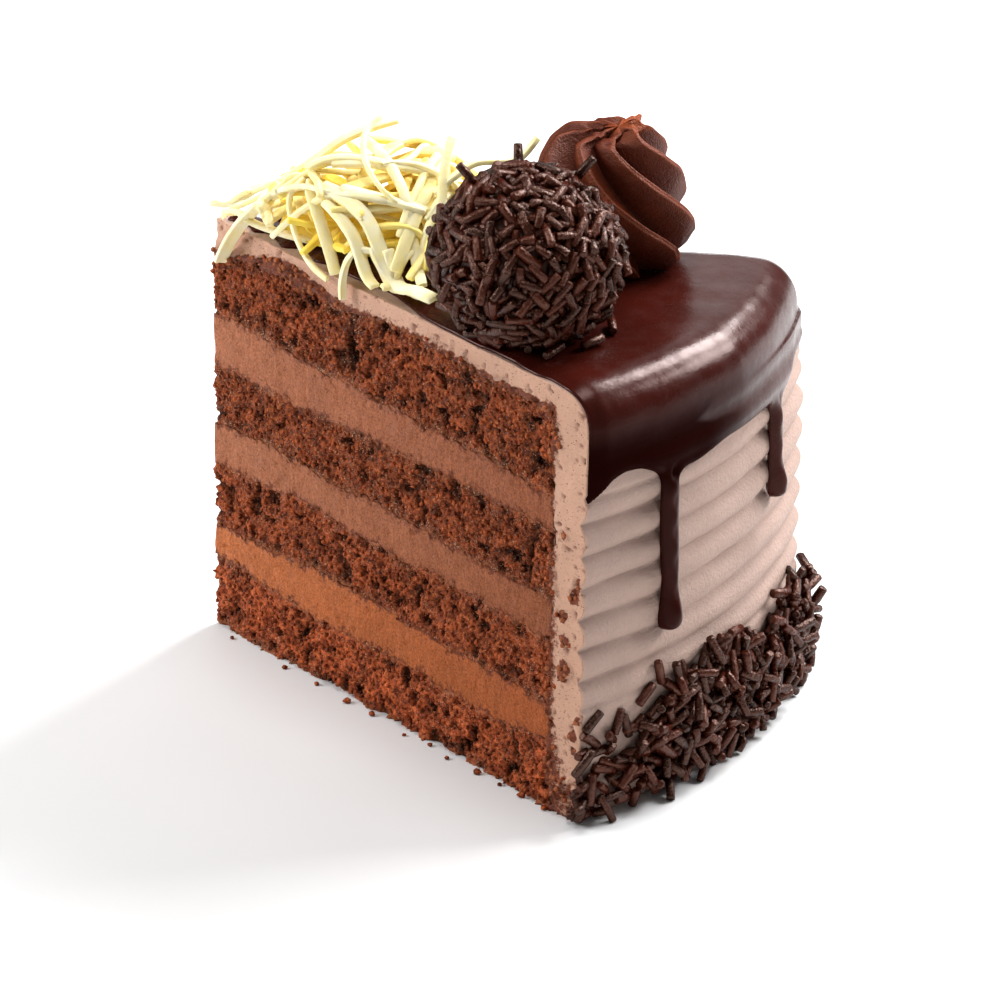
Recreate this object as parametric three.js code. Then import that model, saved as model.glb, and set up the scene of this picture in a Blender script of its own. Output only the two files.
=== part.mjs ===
// A slice of a tall chocolate layer cake: four sponges, three cream fillings, a frosting
// coat combed into level ridges, a poured glaze with drips, and the toppings on it.
//
// Millimetres, +Z up. While it is built, the slice's tip stands on the Z axis at z = 0, and
// the slice's middle line runs along +X. At the end the group is moved so that the origin is
// under the middle of the slice's box.
import * as THREE from "three";

// ---- driving dimensions -------------------------------------------------------------

const DEG = Math.PI / 180;
const GAP = 0.3; // between touching pieces
const HALF_ANGLE = 20 * DEG; // the slice is a 40 degree wedge
const TIP_RADIUS = 1.6; // the tip is blunt
const COAT_RADII = [105.3, 107.8, 109.2]; // tip to the coat's face: one corner, middle, other
const HEIGHT = 80;
const TOP_AT_TIP = 81.6; // top of the frosting, which falls a little outwards
const TOP_AT_SIDE = 80;
const LEAN = new THREE.Vector2(0.9, 0.5); // how far the top has leaned over, soft as it is

const COAT = 8.3; // frosting on the side
const FOOT_DRAW_IN = 1.9; // how much the coat draws in at the board
const FOOT_HEIGHT = 25; // where that begins
const SHOULDER_DRAW_IN = 2.8; // how much its upper edge draws in at the second corner
const SHOULDER_HEIGHT = 52; // where that begins
const TOP_SET_BACK = 1.2; // the frosting's own tip has crumbled back this much
const RIM_ROUNDING = 4.5;
const SPONGE_INSET = 0.5; // the crumb is torn back a little behind the cut fillings

// Top of each layer above the board, at the tip, half way and at the side coat.
const LAYERS = [
  { name: "sponge_1", tops: [14.6, 12.2, 13.3], wave: 0.7, crumb: true },
  { name: "filling_1", tops: [20.6, 21.4, 19.3], wave: 0.5 },
  { name: "sponge_2", tops: [33.4, 33.5, 32.4], wave: 0.5, crumb: true },
  { name: "filling_2", tops: [41.3, 41.0, 39.6], wave: 0.4 },
  { name: "sponge_3", tops: [51.9, 53.4, 53.0], wave: 0.5, crumb: true },
  { name: "filling_3", tops: [63.0, 61.3, 60.0], wave: 0.4 },
  { name: "sponge_4", tops: [75.6, 76.6, 75.6], wave: 0.5, crumb: true },
];

const RIDGE_PITCH = 6;
const RIDGE_DEPTH = 1.1;
const RIDGES_FROM = 20.9;
const RIDGE_COUNT = 7;

const GLAZE_THICKNESS = 1.2;
const APRON_THICKNESS = 1.5;
// The lower edge of the glaze round the side: angle from the middle line, height.
const APRON_EDGE = [
  [-20, 61.2],
  [-19.3, 61.2],
  [-18.2, 63.8],
  [-16.2, 65.3],
  [-13.8, 64.8],
  [-12, 63],
  [-7, 61.5],
  [-2, 63],
  [5.4, 62.9],
  [11, 62.5],
  [13.5, 66],
  [20, 66.5],
];
const EDGE_ROUNDING = 2.5; // height over which the glaze's lower edge thins out
const GLAZE_INSET = 0.4; // behind the cut faces
const FUNNEL_REACH = 3; // how far a drip draws the edge down, in half widths
const FUNNEL_DROP = 4;
const BULB_HEIGHTS = [2, 9]; // above a drip's lowest point, where its bulb fades out
const DRIP_RISE = 14; // a drip stands out fully this far below HANGING_FROM
const HANGING_FROM = 70;
// Where the glaze is sampled across a drip, in half widths from its middle.
const ACROSS_DRIP = [-2.6, -1.5, -1.1, -0.92, -0.5, 0, 0.5, 0.92, 1.1, 1.5, 2.6];
const DRIPS = [
  { angle: -9.9, low: 32, halfWidth: 1.8, thickness: 2, bulb: 0.9 },
  { angle: 8.7, low: 43.8, halfWidth: 1.5, thickness: 1.9, bulb: 0.8 },
];

const TRUFFLE = { x: 76.9, y: -16.4, z: 94.6, radius: 17.2, squash: 0.95, roughness: 0.4 };
const ROSETTE = { x: 74, y: 17.6, height: 25.2, radius: 15.6, lobes: 8, twist: 110 * DEG };
// The rosette's half section: share of its height, share of its radius.
const ROSETTE_SECTION = [
  [0, 0.78],
  [0.08, 0.91],
  [0.2, 0.99],
  [0.32, 1],
  [0.45, 0.99],
  [0.58, 0.95],
  [0.7, 0.86],
  [0.8, 0.73],
  [0.89, 0.55],
  [0.96, 0.34],
];
const ROSETTE_LEAN = new THREE.Vector2(-1.4, -0.8); // of its shoulder, away from its peak
const HEAP = { x: 32, y: 1.5, length: 27, width: 22, height: 20, overhang: 2.5, crown: 6 };
// The heap's half section: share of its height, share of its reach.
const HEAP_SECTION = [
  [0, 0.92],
  [0.25, 1],
  [0.5, 0.93],
  [0.7, 0.78],
  [0.85, 0.55],
  [0.95, 0.28],
];
// The band of sprinkles: angle, height of its upper edge.
const BAND_EDGE = [
  [-20, 13],
  [-14, 16],
  [-11, 24],
  [-1, 25.5],
  [5, 23],
  [20, 23.5],
];
const BAND_THICKNESS = [4.4, 6.6];

// ---- small helpers ------------------------------------------------------------------

const { lerp, smoothstep } = THREE.MathUtils;

/** A made surface's finish. */
function finish(color, roughness) {
  return new THREE.MeshStandardMaterial({ color, roughness, metalness: 0 });
}

/** Leans a point of the upright slice over, more the higher it is. */
function leaned(x, y, z) {
  const share = z / HEIGHT;
  return new THREE.Vector3(x + LEAN.x * share, y + LEAN.y * share, z);
}

/** A point by its distance and angle from the tip. */
function polar(radius, angle, z) {
  return leaned(radius * Math.cos(angle), radius * Math.sin(angle), z);
}

/** The curve through three values at 0, 1/2 and 1. */
function throughThree([start, middle, end], share) {
  const bend = 2 * (start + end) - 4 * middle;
  return start + (end - start - bend) * share + bend * share * share;
}

/** Straight-line reading of a list of [position, value] pairs. */
function readOff(pairs, position) {
  const after = Math.max(1, pairs.findIndex(([at]) => at >= position));
  const [from, low] = pairs[after - 1];
  const [to, high] = pairs[after];
  return lerp(low, high, (position - from) / (to - from));
}

/** A closed geometry from its points and faces, with the faces turned outwards. */
function closedGeometry(points, faces) {
  let volume = 0;
  for (const [a, b, c] of faces) {
    volume += points[a].dot(new THREE.Vector3().crossVectors(points[b], points[c]));
  }
  const turned = volume < 0 ? faces.map(([a, b, c]) => [a, c, b]) : faces;
  const geometry = new THREE.BufferGeometry().setFromPoints(points);
  geometry.setIndex(turned.flat());
  geometry.computeVertexNormals();
  return geometry;
}

/** The solid between two grids of points that run side by side. */
function solidBetween(outer, inner) {
  const rows = outer.length;
  const columns = outer[0].length;
  const points = [...outer.flat(), ...inner.flat()];
  const at = (side, row, column) => (side * rows + row) * columns + column;
  const faces = [];
  const quad = (a, b, c, d) => faces.push([a, b, c], [a, c, d]);
  for (let row = 0; row + 1 < rows; row++) {
    for (let column = 0; column + 1 < columns; column++) {
      const corners = (side) => [
        at(side, row, column),
        at(side, row, column + 1),
        at(side, row + 1, column + 1),
        at(side, row + 1, column),
      ];
      quad(...corners(0));
      quad(...corners(1).reverse());
    }
  }
  for (let row = 0; row + 1 < rows; row++) {
    quad(at(0, row, 0), at(0, row + 1, 0), at(1, row + 1, 0), at(1, row, 0));
    const last = columns - 1;
    quad(at(1, row, last), at(1, row + 1, last), at(0, row + 1, last), at(0, row, last));
  }
  for (let column = 0; column + 1 < columns; column++) {
    quad(at(1, 0, column), at(1, 0, column + 1), at(0, 0, column + 1), at(0, 0, column));
    const last = rows - 1;
    quad(
      at(0, last, column),
      at(0, last, column + 1),
      at(1, last, column + 1),
      at(1, last, column),
    );
  }
  return closedGeometry(points, faces);
}

/** A closed solid of rings stacked between a bottom and a top point. */
function solidOfRings(bottom, rings, top) {
  const around = rings[0].length;
  const points = [bottom, ...rings.flat(), top];
  const at = (ring, step) => 1 + ring * around + (step % around);
  const faces = [];
  for (let step = 0; step < around; step++) {
    faces.push([0, at(0, step + 1), at(0, step)]);
    faces.push([points.length - 1, at(rings.length - 1, step), at(rings.length - 1, step + 1)]);
    for (let ring = 0; ring + 1 < rings.length; ring++) {
      faces.push([at(ring, step), at(ring, step + 1), at(ring + 1, step + 1)]);
      faces.push([at(ring, step), at(ring + 1, step + 1), at(ring + 1, step)]);
    }
  }
  return closedGeometry(points, faces);
}

/** Values from 0 to 1 in even steps. */
const shares = (steps) => Array.from({ length: steps + 1 }, (_, step) => step / steps);

// ---- the slice's own form -----------------------------------------------------------

/** Distance from the tip to the crests of the coat's ridges. */
const coatRadius = (angle) => throughThree(COAT_RADII, (angle / HALF_ANGLE + 1) / 2);

/** The same at a height, drawn in towards the foot and at one shoulder. */
function coatFace(angle, z) {
  const below = Math.max(0, 1 - z / FOOT_HEIGHT);
  const above = smoothstep(z, SHOULDER_HEIGHT, HEIGHT);
  const sideways = Math.max(0, angle / HALF_ANGLE);
  return coatRadius(angle) - FOOT_DRAW_IN * below * below - SHOULDER_DRAW_IN * above * sideways;
}

/** Distance from the tip to the end of the sponges and fillings. */
const layerRadius = (angle) => coatRadius(angle) - COAT - GAP;

/** The widest angle that stays an inset behind the cut face. */
const angleAt = (radius, inset) => HALF_ANGLE - Math.asin(inset / radius);

/** Height of the frosting's top face. */
const frostingTop = (radius) => lerp(TOP_AT_TIP, TOP_AT_SIDE, radius / COAT_RADII[1]);

/** Height of the face between a layer and the next one up, which is never quite level. */
function layerTop(index, radius, angle) {
  if (index < 0) return -GAP / 2;
  const { tops, wave } = LAYERS[index];
  const share = radius / (COAT_RADII[1] - COAT);
  const ripple = Math.sin(radius / 7 + index * 1.9) + Math.sin(radius / 11 + 9 * angle + index);
  return throughThree(tops, share) + 0.5 * wave * ripple;
}

/** How far the comb has cut into the coat at a height. */
function ridgeCut(z) {
  const turns = (z - RIDGES_FROM) / RIDGE_PITCH;
  if (turns < 0 || turns > RIDGE_COUNT) return 0;
  return RIDGE_DEPTH * (1 - Math.abs(Math.sin(Math.PI * turns)));
}

/** One sponge or filling, running through the slice from face to face. */
function layer(index) {
  const inset = LAYERS[index].crumb ? SPONGE_INSET : 0;
  const face = (z) =>
    shares(10).map((along) =>
      shares(7).map((across) => {
        const middle = lerp(TIP_RADIUS + inset, COAT_RADII[1] - COAT, along);
        const angle = (2 * across - 1) * angleAt(middle, inset);
        const radius = lerp(TIP_RADIUS + inset, layerRadius(angle), along);
        return polar(radius, angle, z(radius, angle));
      }),
    );
  const top = face((radius, angle) => layerTop(index, radius, angle) - GAP / 2);
  const bottom = face((radius, angle) => layerTop(index - 1, radius, angle) + GAP / 2);
  return solidBetween(top, bottom);
}

/** The frosting: a slab over the top sponge that turns down into the ridged side coat. */
function frosting() {
  const topSteps = 6;
  const rimSteps = 4;
  const ridgeHeights = shares(RIDGE_COUNT * 4)
    .map((share) => RIDGES_FROM + share * RIDGE_COUNT * RIDGE_PITCH)
    .reverse();
  const sideHeights = [...ridgeHeights, RIDGES_FROM / 2, 0];
  const outerProfile = (angle) => {
    const coat = coatFace(angle, TOP_AT_SIDE);
    const rimTop = frostingTop(coat - RIM_ROUNDING);
    const top = shares(topSteps).map((share) => {
      const radius = lerp(TIP_RADIUS + TOP_SET_BACK, coat - RIM_ROUNDING, share);
      return [radius, frostingTop(radius)];
    });
    const rim = shares(rimSteps).slice(1).map((share) => [
      coat - RIM_ROUNDING * (1 - Math.sin(share * Math.PI / 2)),
      rimTop - RIM_ROUNDING * (1 - Math.cos(share * Math.PI / 2)),
    ]);
    const side = sideHeights.map((z) => [coatFace(angle, z) - ridgeCut(z), z]);
    return [...top, ...rim, ...side];
  };
  const innerProfile = (angle) => {
    const radius = layerRadius(angle) + GAP;
    const under = (at) => layerTop(LAYERS.length - 1, at, angle) + GAP / 2;
    const top = shares(topSteps + 2).map((share) => {
      const at = lerp(TIP_RADIUS + TOP_SET_BACK / 2, radius, share);
      return [at, under(at)];
    });
    const behindRim = [1, 2].map((step) => [radius, under(radius) - 3 * step]);
    const side = sideHeights.map((z) => [radius, z]);
    return [...top, ...behindRim, ...side];
  };
  const grid = (profile) => {
    const columns = shares(12).map((share) => {
      const angle = lerp(-HALF_ANGLE, HALF_ANGLE, share);
      return profile(angle).map(([radius, z]) => polar(radius, angle, z));
    });
    return columns[0].map((_, row) => columns.map((column) => column[row]));
  };
  return solidBetween(grid(outerProfile), grid(innerProfile));
}

/** The glaze: a skin over the top that hangs down the side and runs off in drips. */
function glaze() {
  const awayFrom = ({ angle, halfWidth }, at) => {
    const arc = coatRadius(at) * (at - angle * DEG);
    return Math.abs(arc) / halfWidth;
  };
  const edgeHeight = (angle) => {
    const apron = readOff(APRON_EDGE, angle / DEG);
    for (const drip of DRIPS) {
      const off = awayFrom(drip, angle);
      if (off <= 1) return drip.low + drip.halfWidth * (1 - Math.sqrt(1 - off * off));
      if (off < FUNNEL_REACH) {
        return apron - FUNNEL_DROP * (1 - smoothstep(off, 1, FUNNEL_REACH));
      }
    }
    return apron;
  };
  const thickness = (angle, z, edge) => {
    const roundedEdge = Math.sqrt(Math.min(1, (z - edge) / EDGE_ROUNDING + 0.1));
    for (const drip of DRIPS) {
      const off = awayFrom(drip, angle);
      if (off >= 1) continue;
      const bulb = drip.bulb * (1 - smoothstep(z - drip.low, ...BULB_HEIGHTS));
      const hanging = smoothstep(HANGING_FROM - z, 0, DRIP_RISE);
      const bulge = (drip.thickness + bulb) * Math.sqrt(1 - off * off) * roundedEdge;
      return lerp(APRON_THICKNESS, Math.max(bulge, 0.5), hanging);
    }
    return APRON_THICKNESS * roundedEdge;
  };

  const evenAngles = shares(16).map((share) => lerp(-HALF_ANGLE, HALF_ANGLE, share));
  const dripAngles = DRIPS.flatMap(({ angle, halfWidth }) =>
    ACROSS_DRIP.map((off) => angle * DEG + (off * halfWidth) / COAT_RADII[1]),
  );
  const clearAngles = evenAngles.filter((angle) =>
    dripAngles.every((other) => Math.abs(other - angle) > 0.8 * DEG),
  );
  const angles = [...clearAngles, ...dripAngles].sort((a, b) => a - b);

  const profile = (angle, lift) => {
    const coat = coatFace(angle, TOP_AT_SIDE);
    const turn = coat - RIM_ROUNDING;
    const top = shares(5).map((share) => {
      const radius = lerp(TIP_RADIUS + TOP_SET_BACK + 1, turn, share);
      return [radius, frostingTop(radius) + GAP + lift * GLAZE_THICKNESS];
    });
    const rim = shares(3).slice(1).map((share) => {
      const reach = RIM_ROUNDING + GAP + lift * lerp(GLAZE_THICKNESS, APRON_THICKNESS, share);
      const bearing = (share * Math.PI) / 2;
      return [
        turn + reach * Math.sin(bearing),
        frostingTop(turn) - RIM_ROUNDING + reach * Math.cos(bearing),
      ];
    });
    const edge = edgeHeight(angle);
    const side = shares(7).slice(1).map((share) => {
      const z = lerp(frostingTop(turn) - RIM_ROUNDING, edge, share);
      return [coatFace(angle, z) + GAP + lift * thickness(angle, z, edge), z];
    });
    return [...top, ...rim, ...side];
  };
  const grid = (lift) => {
    const columns = angles.map((angle) =>
      profile(angle, lift).map(([radius, z]) => {
        const within = angleAt(radius, GLAZE_INSET) / HALF_ANGLE;
        return polar(radius, angle * within, z);
      }),
    );
    return columns[0].map((_, row) => columns.map((column) => column[row]));
  };
  return solidBetween(grid(1), grid(0));
}

/** Top face of the glaze at a distance from the tip. */
const glazeTop = (radius) => frostingTop(radius) + GAP + GLAZE_THICKNESS;

/** Where a topping stands, a gap above the glaze. */
function standing({ x, y }) {
  const z = glazeTop(Math.hypot(x, y) - 18) + GAP;
  return leaned(x, y, z);
}

// ---- toppings -----------------------------------------------------------------------

/** The truffle: a ball out to the sprinkles stuck on it, flat where it sits. */
function truffle() {
  const foot = standing(TRUFFLE);
  const centre = new THREE.Vector3(foot.x, foot.y, TRUFFLE.z);
  const lowest = Math.asin((foot.z - TRUFFLE.z) / (TRUFFLE.squash * TRUFFLE.radius));
  const rings = shares(13).slice(0, -1).map((share) => {
    const latitude = lerp(lowest, Math.PI / 2, share);
    return shares(26).slice(1).map((turn) => {
      const bearing = 2 * Math.PI * turn;
      const lump = Math.sin(7 * bearing + 5 * latitude) * Math.sin(9 * latitude + 2 * bearing);
      const radius = TRUFFLE.radius + (share > 0 ? TRUFFLE.roughness * lump : 0);
      return new THREE.Vector3(
        centre.x + radius * Math.cos(latitude) * Math.cos(bearing),
        centre.y + radius * Math.cos(latitude) * Math.sin(bearing),
        Math.max(foot.z, centre.z + TRUFFLE.squash * radius * Math.sin(latitude)),
      );
    });
  });
  const height = TRUFFLE.squash * TRUFFLE.radius;
  const top = new THREE.Vector3(centre.x, centre.y, centre.z + height);
  return solidOfRings(foot, rings, top);
}

/** The rosette: star-nozzle folds that twist in from a wide foot to a torn peak. */
function rosette() {
  const foot = standing(ROSETTE);
  const steps = ROSETTE.lobes * 5;
  const rings = ROSETTE_SECTION.map(([level, swell]) =>
    shares(steps).slice(1).map((turn) => {
      const bearing = 2 * Math.PI * turn;
      const twisted = bearing + ROSETTE.twist * (1 - level);
      const fold = Math.abs(Math.cos((ROSETTE.lobes / 2) * bearing)) ** 0.75;
      const radius = ROSETTE.radius * swell * (0.7 + 0.3 * fold);
      return new THREE.Vector3(
        foot.x + ROSETTE_LEAN.x * level + radius * Math.cos(twisted),
        foot.y + ROSETTE_LEAN.y * level + radius * Math.sin(twisted),
        foot.z + ROSETTE.height * level,
      );
    }),
  );
  const peak = new THREE.Vector3(foot.x + 1.5, foot.y + 0.9, foot.z + ROSETTE.height);
  return solidOfRings(foot, rings, peak);
}

/** The heap of curled shavings, out to its uneven outline. */
function shavingsHeap() {
  const middle = new THREE.Vector2(HEAP.x, HEAP.y);
  const reach = (bearing) => {
    const long = Math.cos(bearing) / HEAP.length;
    const wide = Math.sin(bearing) / HEAP.width;
    const ellipse = 1 / Math.hypot(long, wide);
    const toFace = [-1, 1].map((side) => {
      const away = side * Math.sin(bearing) * Math.cos(HALF_ANGLE);
      const closing = away - Math.cos(bearing) * Math.sin(HALF_ANGLE);
      const distance = middle.x * Math.sin(HALF_ANGLE) - side * middle.y * Math.cos(HALF_ANGLE);
      return closing > 0 ? (distance + HEAP.overhang) / closing : Infinity;
    });
    return Math.min(ellipse, ...toFace);
  };
  const floor = glazeTop(0) + GAP;
  const rings = HEAP_SECTION.map(([level, spread]) =>
    shares(28).slice(1).map((turn) => {
      const bearing = 2 * Math.PI * turn;
      const lump = 1 + 0.07 * Math.sin(5 * bearing + 9 * level) + 0.04 * Math.sin(11 * bearing);
      const radius = reach(bearing) * spread * lump;
      const x = middle.x + HEAP.crown * level * level + radius * Math.cos(bearing);
      const y = middle.y + radius * Math.sin(bearing);
      const rise = lerp(0.35, 1, smoothstep(x, 8, HEAP.x));
      return leaned(x, y, floor + HEAP.height * level * rise);
    }),
  );
  const foot = leaned(middle.x, middle.y, floor);
  const crown = leaned(middle.x + HEAP.crown, middle.y, floor + HEAP.height);
  return solidOfRings(foot, rings, crown);
}

/** The band of sprinkles pressed round the foot of the coat, thicker towards one side. */
function sprinkleBand() {
  const profile = (share, lift) => {
    const angle = lerp(-HALF_ANGLE, HALF_ANGLE, share) * 0.995;
    const lump = Math.sin(37 * share) * 0.5 + Math.sin(61 * share + 1) * 0.5;
    const high = readOff(BAND_EDGE, angle / DEG) + 1.2 * lump;
    const thick = lerp(...BAND_THICKNESS, share);
    return shares(6).map((down) => {
      const z = high * (1 - down);
      const bump = 0.45 * Math.sin(53 * share + 7 * down) * Math.sin(9 * down + 20 * share);
      const swell = lerp(0.3, 1, Math.sqrt(down)) + 0.12 * bump;
      return polar(coatFace(angle, z) + GAP + lift * thick * swell, angle, z);
    });
  };
  const grid = (lift) => {
    const columns = shares(30).map((share) => profile(share, lift));
    return columns[0].map((_, row) => columns.map((column) => column[row]));
  };
  return solidBetween(grid(1), grid(0));
}

// ---- the assembled slice ------------------------------------------------------------

const spongeFinishes = [0x823c1e, 0x71351e, 0x814a33, 0x693a29].map((c) => finish(c, 0.95));
const creamFinishes = [0x9a522d, 0xa0664a, 0x966344].map((c) => finish(c, 0.7));

const group = new THREE.Group();

function add(name, geometry, material) {
  const mesh = new THREE.Mesh(geometry, material);
  mesh.name = name;
  group.add(mesh);
}

LAYERS.forEach(({ name, crumb }, index) => {
  const finishes = crumb ? spongeFinishes : creamFinishes;
  add(name, layer(index), finishes[Math.floor(index / 2)]);
});
add("frosting", frosting(), finish(0xaf9185, 0.75));
add("glaze", glaze(), finish(0x2b0f0b, 0.15));
add("truffle", truffle(), finish(0x381e19, 0.6));
add("rosette", rosette(), finish(0x5a342b, 0.6));
add("shavings_heap", shavingsHeap(), finish(0xf5e6a8, 0.6));
add("sprinkle_band", sprinkleBand(), finish(0x3d241d, 0.6));

const box = new THREE.Box3().setFromObject(group);
const middle = box.getCenter(new THREE.Vector3());
group.position.set(-middle.x, -middle.y, -box.min.z);

export default group;
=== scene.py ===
"""The looks of a slice of chocolate layer cake, built around its solid frame.

Sizes in this file are millimetres unless a property says otherwise, and become metres when a
mesh is made. Shapes are written for the upright slice, with its tip on the Z axis, and
place() puts them in the frame.
"""

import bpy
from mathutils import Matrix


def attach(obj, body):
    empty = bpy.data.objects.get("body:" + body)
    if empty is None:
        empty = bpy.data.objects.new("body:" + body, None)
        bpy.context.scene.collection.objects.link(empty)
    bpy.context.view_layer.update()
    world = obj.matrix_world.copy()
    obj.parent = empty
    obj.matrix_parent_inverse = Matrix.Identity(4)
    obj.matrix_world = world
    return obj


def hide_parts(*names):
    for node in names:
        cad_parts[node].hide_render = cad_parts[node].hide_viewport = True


bl_info = {
    "name": "Chocolate layer cake slice",
    "version": (1, 0, 0),
    "blender": (4, 5, 0),
    "location": "View3D > Sidebar > Cake slice",
    "description": "Sponges, fillings, frosting, glaze and toppings of one slice of cake",
    "category": "Object",
}

import itertools
import math

import bpy
import numpy as np
from bpy.props import FloatProperty, FloatVectorProperty, IntProperty, PointerProperty
from mathutils import Vector

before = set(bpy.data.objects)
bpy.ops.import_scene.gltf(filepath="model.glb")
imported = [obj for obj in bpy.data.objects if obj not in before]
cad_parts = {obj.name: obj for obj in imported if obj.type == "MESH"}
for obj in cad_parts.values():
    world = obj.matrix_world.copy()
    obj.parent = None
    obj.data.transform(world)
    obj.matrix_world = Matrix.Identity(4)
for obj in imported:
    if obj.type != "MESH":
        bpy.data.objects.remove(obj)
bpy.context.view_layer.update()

# ---- the slice's own sizes ------------------------------------------------------------

MM = 0.001
# Where the upright slice's tip stands, and how far the slice leans over at its full height.
TIP_AT = (-57.13, -1.07)
LEAN = (0.9, 0.5)
HEIGHT = 80.0
HALF_ANGLE = math.radians(20)
TIP_RADIUS = 1.6
# The coat: its radius at the near side, in the middle and at the far side, the height of its top,
# its thickness, and how far it is drawn in at its foot and shoulder, over what heights.
COAT_RADII = (105.3, 107.8, 109.2)
TOP_AT_TIP, TOP_AT_SIDE = 81.6, 80.0
COAT = 8.3
FOOT_DRAW_IN, FOOT_HEIGHT = 1.9, 25.0
SHOULDER_DRAW_IN, SHOULDER_HEIGHT = 2.8, 52.0
RIM_ROUNDING = 8.0
# How far the sponges' cut faces lie behind the creams'.
SPONGE_INSET = 0.15

# Tops of the layers at the tip, half way and at the coat, and how wavy they are.
LAYERS = (
    ((14.6, 12.2, 13.3), 0.7),
    ((20.6, 21.4, 19.3), 0.5),
    ((33.4, 33.5, 32.4), 0.5),
    ((41.3, 41.0, 39.6), 0.4),
    ((51.9, 53.4, 53.0), 0.5),
    ((63.0, 61.3, 60.0), 0.4),
    ((75.6, 76.6, 75.6), 0.5),
)
# The comb's ridges: their spacing, where they start and how many there are.
RIDGE_PITCH, RIDGES_FROM, RIDGE_COUNT = 6.0, 20.9, 7

# The glaze's lower edge on the side: degrees from the middle line, and heights.
APRON_EDGE = (
    (-20, -19.3, -18.2, -16.2, -13.8, -12, -7, -2, 5.4, 11, 13.5, 20),
    (61.2, 61.2, 63.8, 65.3, 64.8, 63, 61.5, 63, 62.9, 62.5, 66, 66.5),
)
# The long drips: degrees from the middle line, lowest point and size.
DRIPS = (
    {"angle": -9.9, "low": 32.0, "half_width": 1.8, "thickness": 2.0, "bulb": 1.2},
    {"angle": 8.7, "low": 43.8, "half_width": 1.5, "thickness": 1.9, "bulb": 1.1},
)
TRUFFLE = {"x": 76.1, "y": -16.8, "z": 94.6, "radius": 17.2, "squash": 0.95}
# Sprinkles that stand out from the truffle's top, and ones that fell beside it.
TRUFFLE_STANDING, TRUFFLE_FALLEN = 3, 4
# The spot on the ball that the sprinkles leave bare.
TRUFFLE_BARE = (73.4, -31.0, 97.2)
ROSETTE = {"x": 74.0, "y": 17.6, "height": 25.2, "radius": 15.6, "lean": (-1.4, -0.8)}
# How wide the rosette is at shares of its height.
ROSETTE_SECTION = (
    (0, 0.08, 0.2, 0.32, 0.45, 0.58, 0.7, 0.8, 0.89, 0.96, 1),
    (0.78, 0.91, 0.99, 1, 0.99, 0.95, 0.87, 0.76, 0.6, 0.4, 0.22),
)
# The heap of shavings, and four heights: its core's foot, the foot of its shavings, the lowest
# that a shaving may lie, and the lowest roof over one.
HEAP = {"x": 32.0, "y": 1.5, "length": 27.0, "width": 22.0, "height": 17.0}
CORE_FOOT, HEAP_FOOT, LOWEST_SHAVING, LOWEST_ROOF = 83.2, 83.6, 83.4, 84.2
# Loose things: how many crumbs lie at the foot of the near face, how many patches of crumb were
# dragged onto the coat's cut face, and how many sprinkles stick to the coat above the band.
FOOT_CRUMBS, DRAGGED_CRUMBS, BAND_STRAYS = 12, 10, 8
# The band's upper edge: degrees from the middle line, and heights.
BAND_EDGE = ((-20, -14, -11, -1, 5, 20), (13, 16, 24, 25.5, 23, 23.5))

# The shavings that lie on top, listed one by one. Where each starts, in shares of the heap's half
# length and half width from its middle; the way it sets off and how far it turns, in degrees; its
# length; how high it lies over the heap at its start and end; and its width.
TOP_SHAVINGS = (
    ((-0.05, -0.45), 15, 25, 22, (1.5, 1.5), 1.6),
    ((0.1, -0.6), 0, 30, 17, (0.5, 1.5), 2.1),
    ((0.15, -0.65), 175, 50, 44, (0.5, 0.5), 2.3),
    ((-0.05, -0.6), -10, -15, 32, (0.5, 1.5), 2.6),
    ((-0.2, -0.45), 225, 110, 26, (0, 0), 0.9),
    ((-0.15, -0.5), 285, -15, 22, (0, 0), 1.9),
    ((0.5, -0.55), 195, 10, 34, (1.5, 0), 1.3),
    ((0.05, -0.7), -5, -15, 15, (0, 0), 2.3),
    ((0.5, -0.8), 200, 60, 20, (0, 0), 1.2),
    ((-0.55, -0.2), 195, 10, 14, (0.5, 0), 1.7),
    ((-0.6, -0.1), 265, 10, 12, (0.5, 0), 1.3),
    ((-0.3, 0), 180, 5, 24, (1, 0.5), 1.0),
    ((-0.3, -0.35), 30, 30, 18, (0.5, 5), 1.9),
    ((0, -0.05), -25, -25, 30, (2, 1), 1.9),
    ((0.15, 0), 250, 130, 20, (7, 1.5), 0.9),
    ((0.65, 0.05), 280, 20, 10, (9, 2), 1.8),
    ((0.25, -0.35), 45, -60, 18, (1.5, 3.5), 1.1),
    ((0.6, -0.7), 95, 10, 20, (0.5, 2), 1.4),
    ((0.7, -0.5), 85, 20, 18, (1, 3), 1.5),
    ((0.75, -0.65), 100, -20, 12, (1, 2), 1.3),
    ((0.8, -0.6), 80, 30, 10, (1, 1), 1.4),
    ((0.45, -0.8), -10, 20, 12, (0, 0), 1.6),
    ((-0.4, -0.45), 15, -5, 22, (0, 1), 1.4),
    ((0.55, -0.75), -20, 10, 9, (0.5, 0), 2.2),
    ((-0.2, -0.5), 25, -15, 15, (2, 2), 1.6),
    ((0.65, -0.3), 45, 0, 20, (1, 23), 2.0),
    ((-0.85, -0.05), 170, 20, 9, (1, 0), 1.2),
)


# ---- numbers along and across the slice -----------------------------------------------


def lerp(low, high, share):
    """The value a share of the way from low to high."""
    return low + (high - low) * share


def smooth(value, low, high):
    """0 below low, 1 above high, and an easy curve between."""
    share = np.clip((value - low) / (high - low), 0, 1)
    return share * share * (3 - 2 * share)


def through_three(values, share):
    """The curve through three values at 0, 1/2 and 1."""
    start, middle, end = values
    bend = 2 * (start + end) - 4 * middle
    return start + (end - start - bend) * share + bend * share * share


def place(radius, angle, z):
    """Points in the frame, by distance and angle from the upright slice's tip."""
    return place_xy(radius * np.cos(angle), radius * np.sin(angle), z)


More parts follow.
